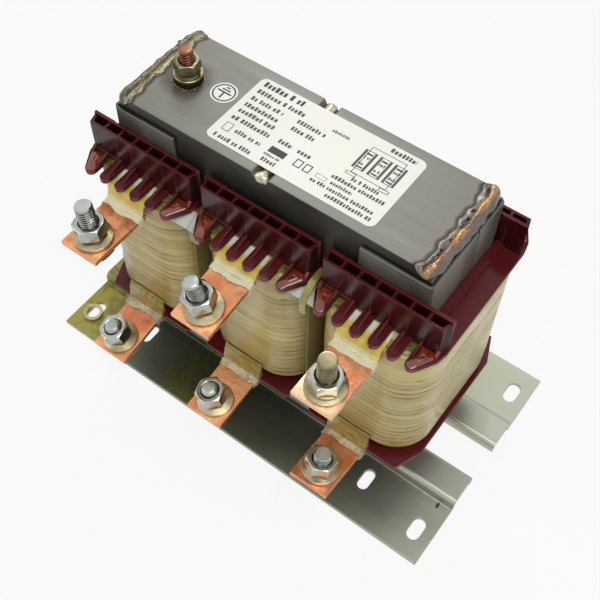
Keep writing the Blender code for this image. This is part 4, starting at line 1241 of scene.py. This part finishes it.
def makeRunDrop():
    # varnish gathered at the hanging end of the right strip
    drop = {"size": (1.7, 0.95, 2.3), "ahead": 0.45, "up": 1.5, "taper": 0.28}
    low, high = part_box("strip_2")
    centre = ((low.x + high.x) / 2, low.y + drop["ahead"] * mm, low.z + drop["up"] * mm)
    shape = bmesh.new()
    bmesh.ops.create_uvsphere(shape, u_segments=28, v_segments=18, radius=1.0)
    for vert in shape.verts:
        taper = 1.0 - drop["taper"] * max(0.0, vert.co.z)
        narrow = (taper, taper, 1.0)
        vert.co = Vector([centre[n] + vert.co[n] * drop["size"][n] * mm * narrow[n] for n in range(3)])
    piece = smoothed(newPiece("stripDrop", meshOf("stripDrop", shape)), 80)
    settle(piece, resinPale)


makeRunDrop()
print("stage: sheets and strips made")


# terminals

bars = {"thick": 2.6, "holeBack": 21.9, "offset": -2.6, "root": 40.4}
# name, coil, height and slope of the bar, lean of the screw, its length, domed tip, turn of the nut
terminals = (
    ("u1", -1, 115.2, 0.0, 5.0, 20.5, False, 12),
    ("v1", 0, 118.2, 7.0, 9.0, 20.5, True, 20),
    ("w1", 1, 116.1, 0.5, 0.0, 20.5, False, 8),
    ("u2", -1, 39.4, 11.0, 9.0, 13.5, True, 5),
    ("v2", 0, 40.4, 7.5, 9.0, 13.5, True, 14),
    ("w2", 1, 38.2, -6.5, 0.0, 13.5, False, 0))
seat = {"gap": 0.3, "flats": 13.0, "head": 5.3, "nut": 6.5, "washer": 2.4, "washerBore": 4.9, "thread": 3.98,
        "pitch": 1.25, "nutBore": 4.12}


def barFrame(coil, height, slope):
    root = Vector(spot(coil * coilPitch + bars["offset"], -bars["root"], height))
    return Matrix.Translation(root) @ Matrix.Rotation(math.radians(slope), 4, "X")


def makeFastener(name, coil, height, slope, lean, length, domed, nutTurn):
    angle = math.radians(lean)
    base = barFrame(coil, height, slope)
    base = base @ Matrix.Translation((0, -bars["holeBack"] * mm, -bars["thick"] / 2 * mm))
    tilt = base @ Matrix.Rotation(-angle, 4, "Y")
    under = bars["thick"] / 2 + seat["gap"]
    backOff = (under + seat["flats"] / 2 * math.sin(angle)) / math.cos(angle) - under
    tip = (bars["thick"] / 2 - backOff + length) * mm
    headTop = (-under - backOff) * mm
    flats = seat["flats"] * mm
    rod = threadedRod(seat["thread"] * mm, seat["pitch"] * mm, headTop - 0.5 * mm,
                      tip - (0.9 * mm if domed else 0.1 * mm), domed)
    head = hexBody("head", flats, headTop - seat["head"] * mm, headTop, 0)
    screw = joined("terminalScrew_" + name, [rod, head])
    screw.data.transform(tilt)
    plating = wornZinc if name == "w1" else boltZinc
    settle(evenShade(smoothed(screw, 50)), plating, ("screw_" + name,))
    climb = seat["washerBore"] * math.sin(angle)
    rise = (under + seat["gap"] + seat["washer"] + climb) / math.cos(angle) * mm
    nut = hexBody("nut", flats, rise, rise + seat["nut"] * mm, seat["nutBore"] * mm)
    nut.name = "terminalNut_" + name
    nut.data.transform(tilt @ Matrix.Rotation(math.radians(nutTurn), 4, "Z"))
    settle(evenShade(nut), boltZinc, ("nut_" + name,))


def makeLockRing(coil, height, slope):
    # toothed ring pressed round the foot of the right upper nut
    ring = {"teeth": 44, "inner": 6.0, "outer": 6.9, "tooth": 0.35, "swell": 0.2}
    levels = ((2.75, 0.0), (2.9, ring["swell"]), (3.4, ring["swell"]), (3.55, 0.0))
    steps = ring["teeth"] * 4
    points = []
    for level, swell in levels:
        for i in range(steps):
            tooth = ring["tooth"] if i % 4 in (1, 2) and swell else 0.0
            radius = ring["outer"] + swell + tooth
            points.append(turned(radius * mm, 2 * math.pi * i / steps, level * mm))
    for level in (levels[-1][0], levels[0][0]):
        points += [turned(ring["inner"] * mm, 2 * math.pi * i / steps, level * mm) for i in range(steps)]
    piece = closed("lockRing_w1", points, gridFaces(6, steps, True, 0, True), 30)
    piece.data.transform(barFrame(coil, height, slope) @ Matrix.Translation((0, -bars["holeBack"] * mm, 0)))
    settle(piece, earthZinc)


def tapeBand(name, coil, height, slope, tape, seed):
    # a band of a few turns round the bar, torn along its front edge
    around, rows = 112, 9
    local = Matrix.Rotation(math.radians(slope), 4, "X")
    base = barFrame(coil, height, 0.0).translation
    halfTall = (tape["over"] + tape["under"]) / 2
    middle = tape["over"] - halfTall
    ring = roundedRectangle(tape["halfWidth"], halfTall, 0.8, around)
    steps = [(i, 0) for i in range(rows)] + [(i, 1) for i in reversed(range(rows))]
    points = []
    for i, layer in steps:
        for point, way in ring:
            tear = 0.5 + 1.1 * wobble(point.x * 0.16, seed, point.y * 0.3)
            edge = tape["front"] - tape["tear"] * tear - 0.3 * wobble(point.x * 1.1, seed + 5, 0)
            along = tape["back"] + (edge - tape["back"]) * i / (rows - 1)
            fold = tape["fold"] * wobble(point.x * 0.8, along * 0.8, seed)
            here = point + way * (fold - tape["thick"] * layer)
            points.append(local @ Vector((here.x * mm, -along * mm, (here.y + middle) * mm)) + base)
    return closed("band_" + name, points, gridFaces(2 * rows, around, True, 0, True), 50)


def makeUpperTape(name, coil, height, slope):
    # torn band round the bar, and the sheet that runs from it up under the fingers
    tape = {"halfWidth": 10.35, "over": 0.78, "under": 3.35, "back": 2.2, "front": 6.6, "tear": 1.5,
            "thick": 0.42, "fold": 0.14, "sheet": 0.14, "halfSheet": 10.1, "columns": 36}
    seed = coil * 7.3 + height
    band = tapeBand(name, coil, height, slope, tape, seed)
    start = height + 0.35
    path = [(-42.75, height + 1.2), (-42.3, height + 2.0), (-41.6, 119.9), (-40.9, 121.2),
            (-40.1, 122.0), (-39.3, 122.45), (-36.0, 123.95), (-32.3, 125.6)]
    # knots that the height of the bar has overtaken are left out
    path = [(y, z) for k, (y, z) in enumerate(path) if z > start + 0.4 and (k > 1 or z < 119.6)]
    path = [(-42.7, start)] + path
    fine = []
    for (y0, z0), (y1, z1) in zip(path, path[1:]):
        count = max(1, int(math.hypot(y1 - y0, z1 - z0) / 0.6))
        fine += [(y0 + (y1 - y0) * k / count, z0 + (z1 - z0) * k / count) for k in range(count)]
    fine.append(path[-1])
    last = tape["columns"] - 1
    left, right = bars["offset"] - tape["halfSheet"], bars["offset"] + tape["halfSheet"]
    points = []
    for y, z in fine:
        for j in range(last + 1):
            x = left + (right - left) * j / last
            ripple = 0.09 * wobble(x * 0.6, z * 0.5, seed)
            trim = 0.5 * wobble(z * 0.5, j // last, seed) if j in (0, last) else 0.0
            points.append(spot(coil * coilPitch + x + trim, y + ripple, z + ripple))
    sheet = meshPiece("sheet", points, gridFaces(len(fine), last + 1), 60)
    thick = sheet.modifiers.new("thick", "SOLIDIFY")
    thick.thickness = tape["sheet"] * mm
    thick.offset = 0.0
    piece = smoothed(joined("terminalTape_" + name, [band, evaluated(sheet)]), 60)
    settle(piece, tapeUpper, ("sleeve_" + name,))


def makeLowerTape(name, coil, height, slope):
    # crinkled band round the bar, and a varnish soaked pad standing against the coil
    tape = {"halfWidth": 10.5, "over": 0.95, "under": 3.5, "back": 2.2, "front": 6.5, "tear": 1.2,
            "thick": 0.5, "fold": 0.42, "halfPad": 10.6, "columns": 50}
    seed = coil * 4.1 + height
    band = tapeBand(name, coil, height, slope, tape, seed)
    profile = [(-40.1, height - 4.6), (-42.2, height - 4.6), (-42.5, height - 3.6), (-42.7, height),
               (-42.75, height + 1.2), (-42.3, height + 2.6), (-41.7, 46.6), (-41.0, 48.6), (-40.6, 49.8),
               (-40.35, 50.4), (-40.1, 50.6)]
    columns, count = tape["columns"], len(profile)
    points = []
    for j in range(columns):
        x = bars["offset"] - tape["halfPad"] + 2 * tape["halfPad"] * j / (columns - 1)
        for k, (y, z) in enumerate(profile):
            lump = 0.34 * wobble(x * 0.45, z * 0.35, seed + 2) if 0 < k < count - 1 else 0.0
            sag = 0.8 * wobble(x * 0.2, 3.0, seed) - 0.6 if k > 5 else 0.0
            points.append(spot(coil * coilPitch + x, y + lump, z + sag))
    faces = gridFaces(columns, count) + endCaps(count, len(points)) + backFaces(columns, count)
    pad = outward(meshPiece("pad", points, faces, 60))
    piece = smoothed(joined("terminalTape_" + name, [band, pad]), 60)
    settle(piece, tapeLower, ("sleeve_" + name,))


for row in terminals:
    name = row[0]
    dress("bar_" + name, copperBar, 0.3, 2, 40)
    dress("washer_" + name, washerZinc, 0.25, 3, 50)
    makeFastener(*row)
    wrap = makeUpperTape if name.endswith("1") else makeLowerTape
    wrap(*row[:4])
makeLockRing(*terminals[2][1:4])    # on w1
print("stage: terminals made")


# earth stud and loose ring

def makeSplitRing():
    # lock ring: a flat ring cut once and sprung a little apart
    ring = {"inner": 3.5, "outer": 5.4, "low": 3.6, "high": 5.0, "gap": 14, "spring": 0.25, "steps": 56}
    corners = [(ring[radius], ring[z]) for radius, z in (("inner", "low"), ("outer", "low"),
                                                         ("outer", "high"), ("inner", "high"))]
    points = []
    for i in range(ring["steps"]):
        share = i / (ring["steps"] - 1)
        angle = math.radians(ring["gap"] + (360 - ring["gap"]) * share)
        lift = ring["spring"] * (share - 0.5)
        points += [turned(radius * mm, angle, (z + lift) * mm) for radius, z in corners]
    faces = gridFaces(ring["steps"], 4, True) + endCaps(4, len(points))
    return outward(meshPiece("split", points, faces, 40))


def makeEarth():
    earth = {"collar": 12.2, "length": 16.0, "flats": 10, "nut": 5, "thread": 2.98, "pitch": 1.4,
             "nutBore": 3.1, "nutTurn": 10}
    base = Matrix.Translation((studX * mm, coreY, coreTop + 0.3 * mm))
    rod = threadedRod(earth["thread"] * mm, earth["pitch"] * mm, 1.0 * mm, (earth["length"] - 0.2) * mm,
                      False, 36)
    half = earth["collar"] / 2 * mm
    collar = lathe("collar", [(0.0, 2.2 * mm), (half - 0.9 * mm, 2.2 * mm), (half - 0.3 * mm, 1.9 * mm),
                              (half, 1.0 * mm), (half + 0.1 * mm, -0.25 * mm), (0.0, -0.25 * mm)])
    for vert in collar.data.vertices:
        vert.co.xy *= 1 + 0.05 * wobble(vert.co.x * 300, vert.co.y * 300, 2.0)
    stud = joined("earthStud", [rod, collar])
    stud.data.transform(base)
    settle(smoothed(stud, 40), studCopper, ("earth_stud",))
    rise = (2.2 + 0.3 + 1.0 + 1.6 + 0.3) * mm    # collar, gap, flat washer, split ring, gap
    nut = hexBody("earthNut", earth["flats"] * mm, rise, rise + earth["nut"] * mm, earth["nutBore"] * mm)
    nut.data.transform(base @ Matrix.Rotation(math.radians(earth["nutTurn"]), 4, "Z"))
    settle(evenShade(nut), earthZinc, ("earth_nut",))
    profile = ((3.4, 3.45), (6.0, 3.45), (6.2, 3.3), (6.2, 2.6), (3.4, 2.6), (3.4, 3.45))
    flat = lathe("flat", [(radius * mm, z * mm) for radius, z in profile], 56)
    washer = joined("earthWasher", [makeSplitRing(), flat])
    washer.data.transform(base)
    settle(smoothed(washer, 34), earthZinc, ("earth_washer",))


def makeSpatter():
    # beads of metal thrown off when the stud was welded on
    spatter = {"count": 150, "near": 6.3, "far": 8.9, "small": 0.12, "large": 0.36, "flat": 0.7}
    dice = random.Random(11)
    parts = []
    for i in range(spatter["count"]):
        angle = dice.uniform(0, 2 * math.pi)
        reach = spatter["near"] + (spatter["far"] - spatter["near"]) * dice.random() ** 1.8
        radius = dice.uniform(spatter["small"], spatter["large"])
        radius *= 1.2 - 0.6 * (reach - spatter["near"]) / 3
        shape = bmesh.new()
        bmesh.ops.create_icosphere(shape, subdivisions=2, radius=radius * mm)
        mesh = meshOf("speck", shape)
        mesh.transform(Matrix.Diagonal((1.0, 1.0, spatter["flat"], 1.0)))
        x, y, ignored = spot(studX + reach * math.cos(angle), reach * math.sin(angle), 0)
        mesh.transform(Matrix.Translation((x, y, coreTop + 0.05 * mm)))
        parts.append(newPiece("speck", mesh))
    settle(smoothed(joined("weldSpatter", parts), 80), spatterMetal)


makeEarth()
makeSpatter()
dress("foot_ring", washerZinc, 0.3, 2, 50)
print("stage: earth stud and ring made")
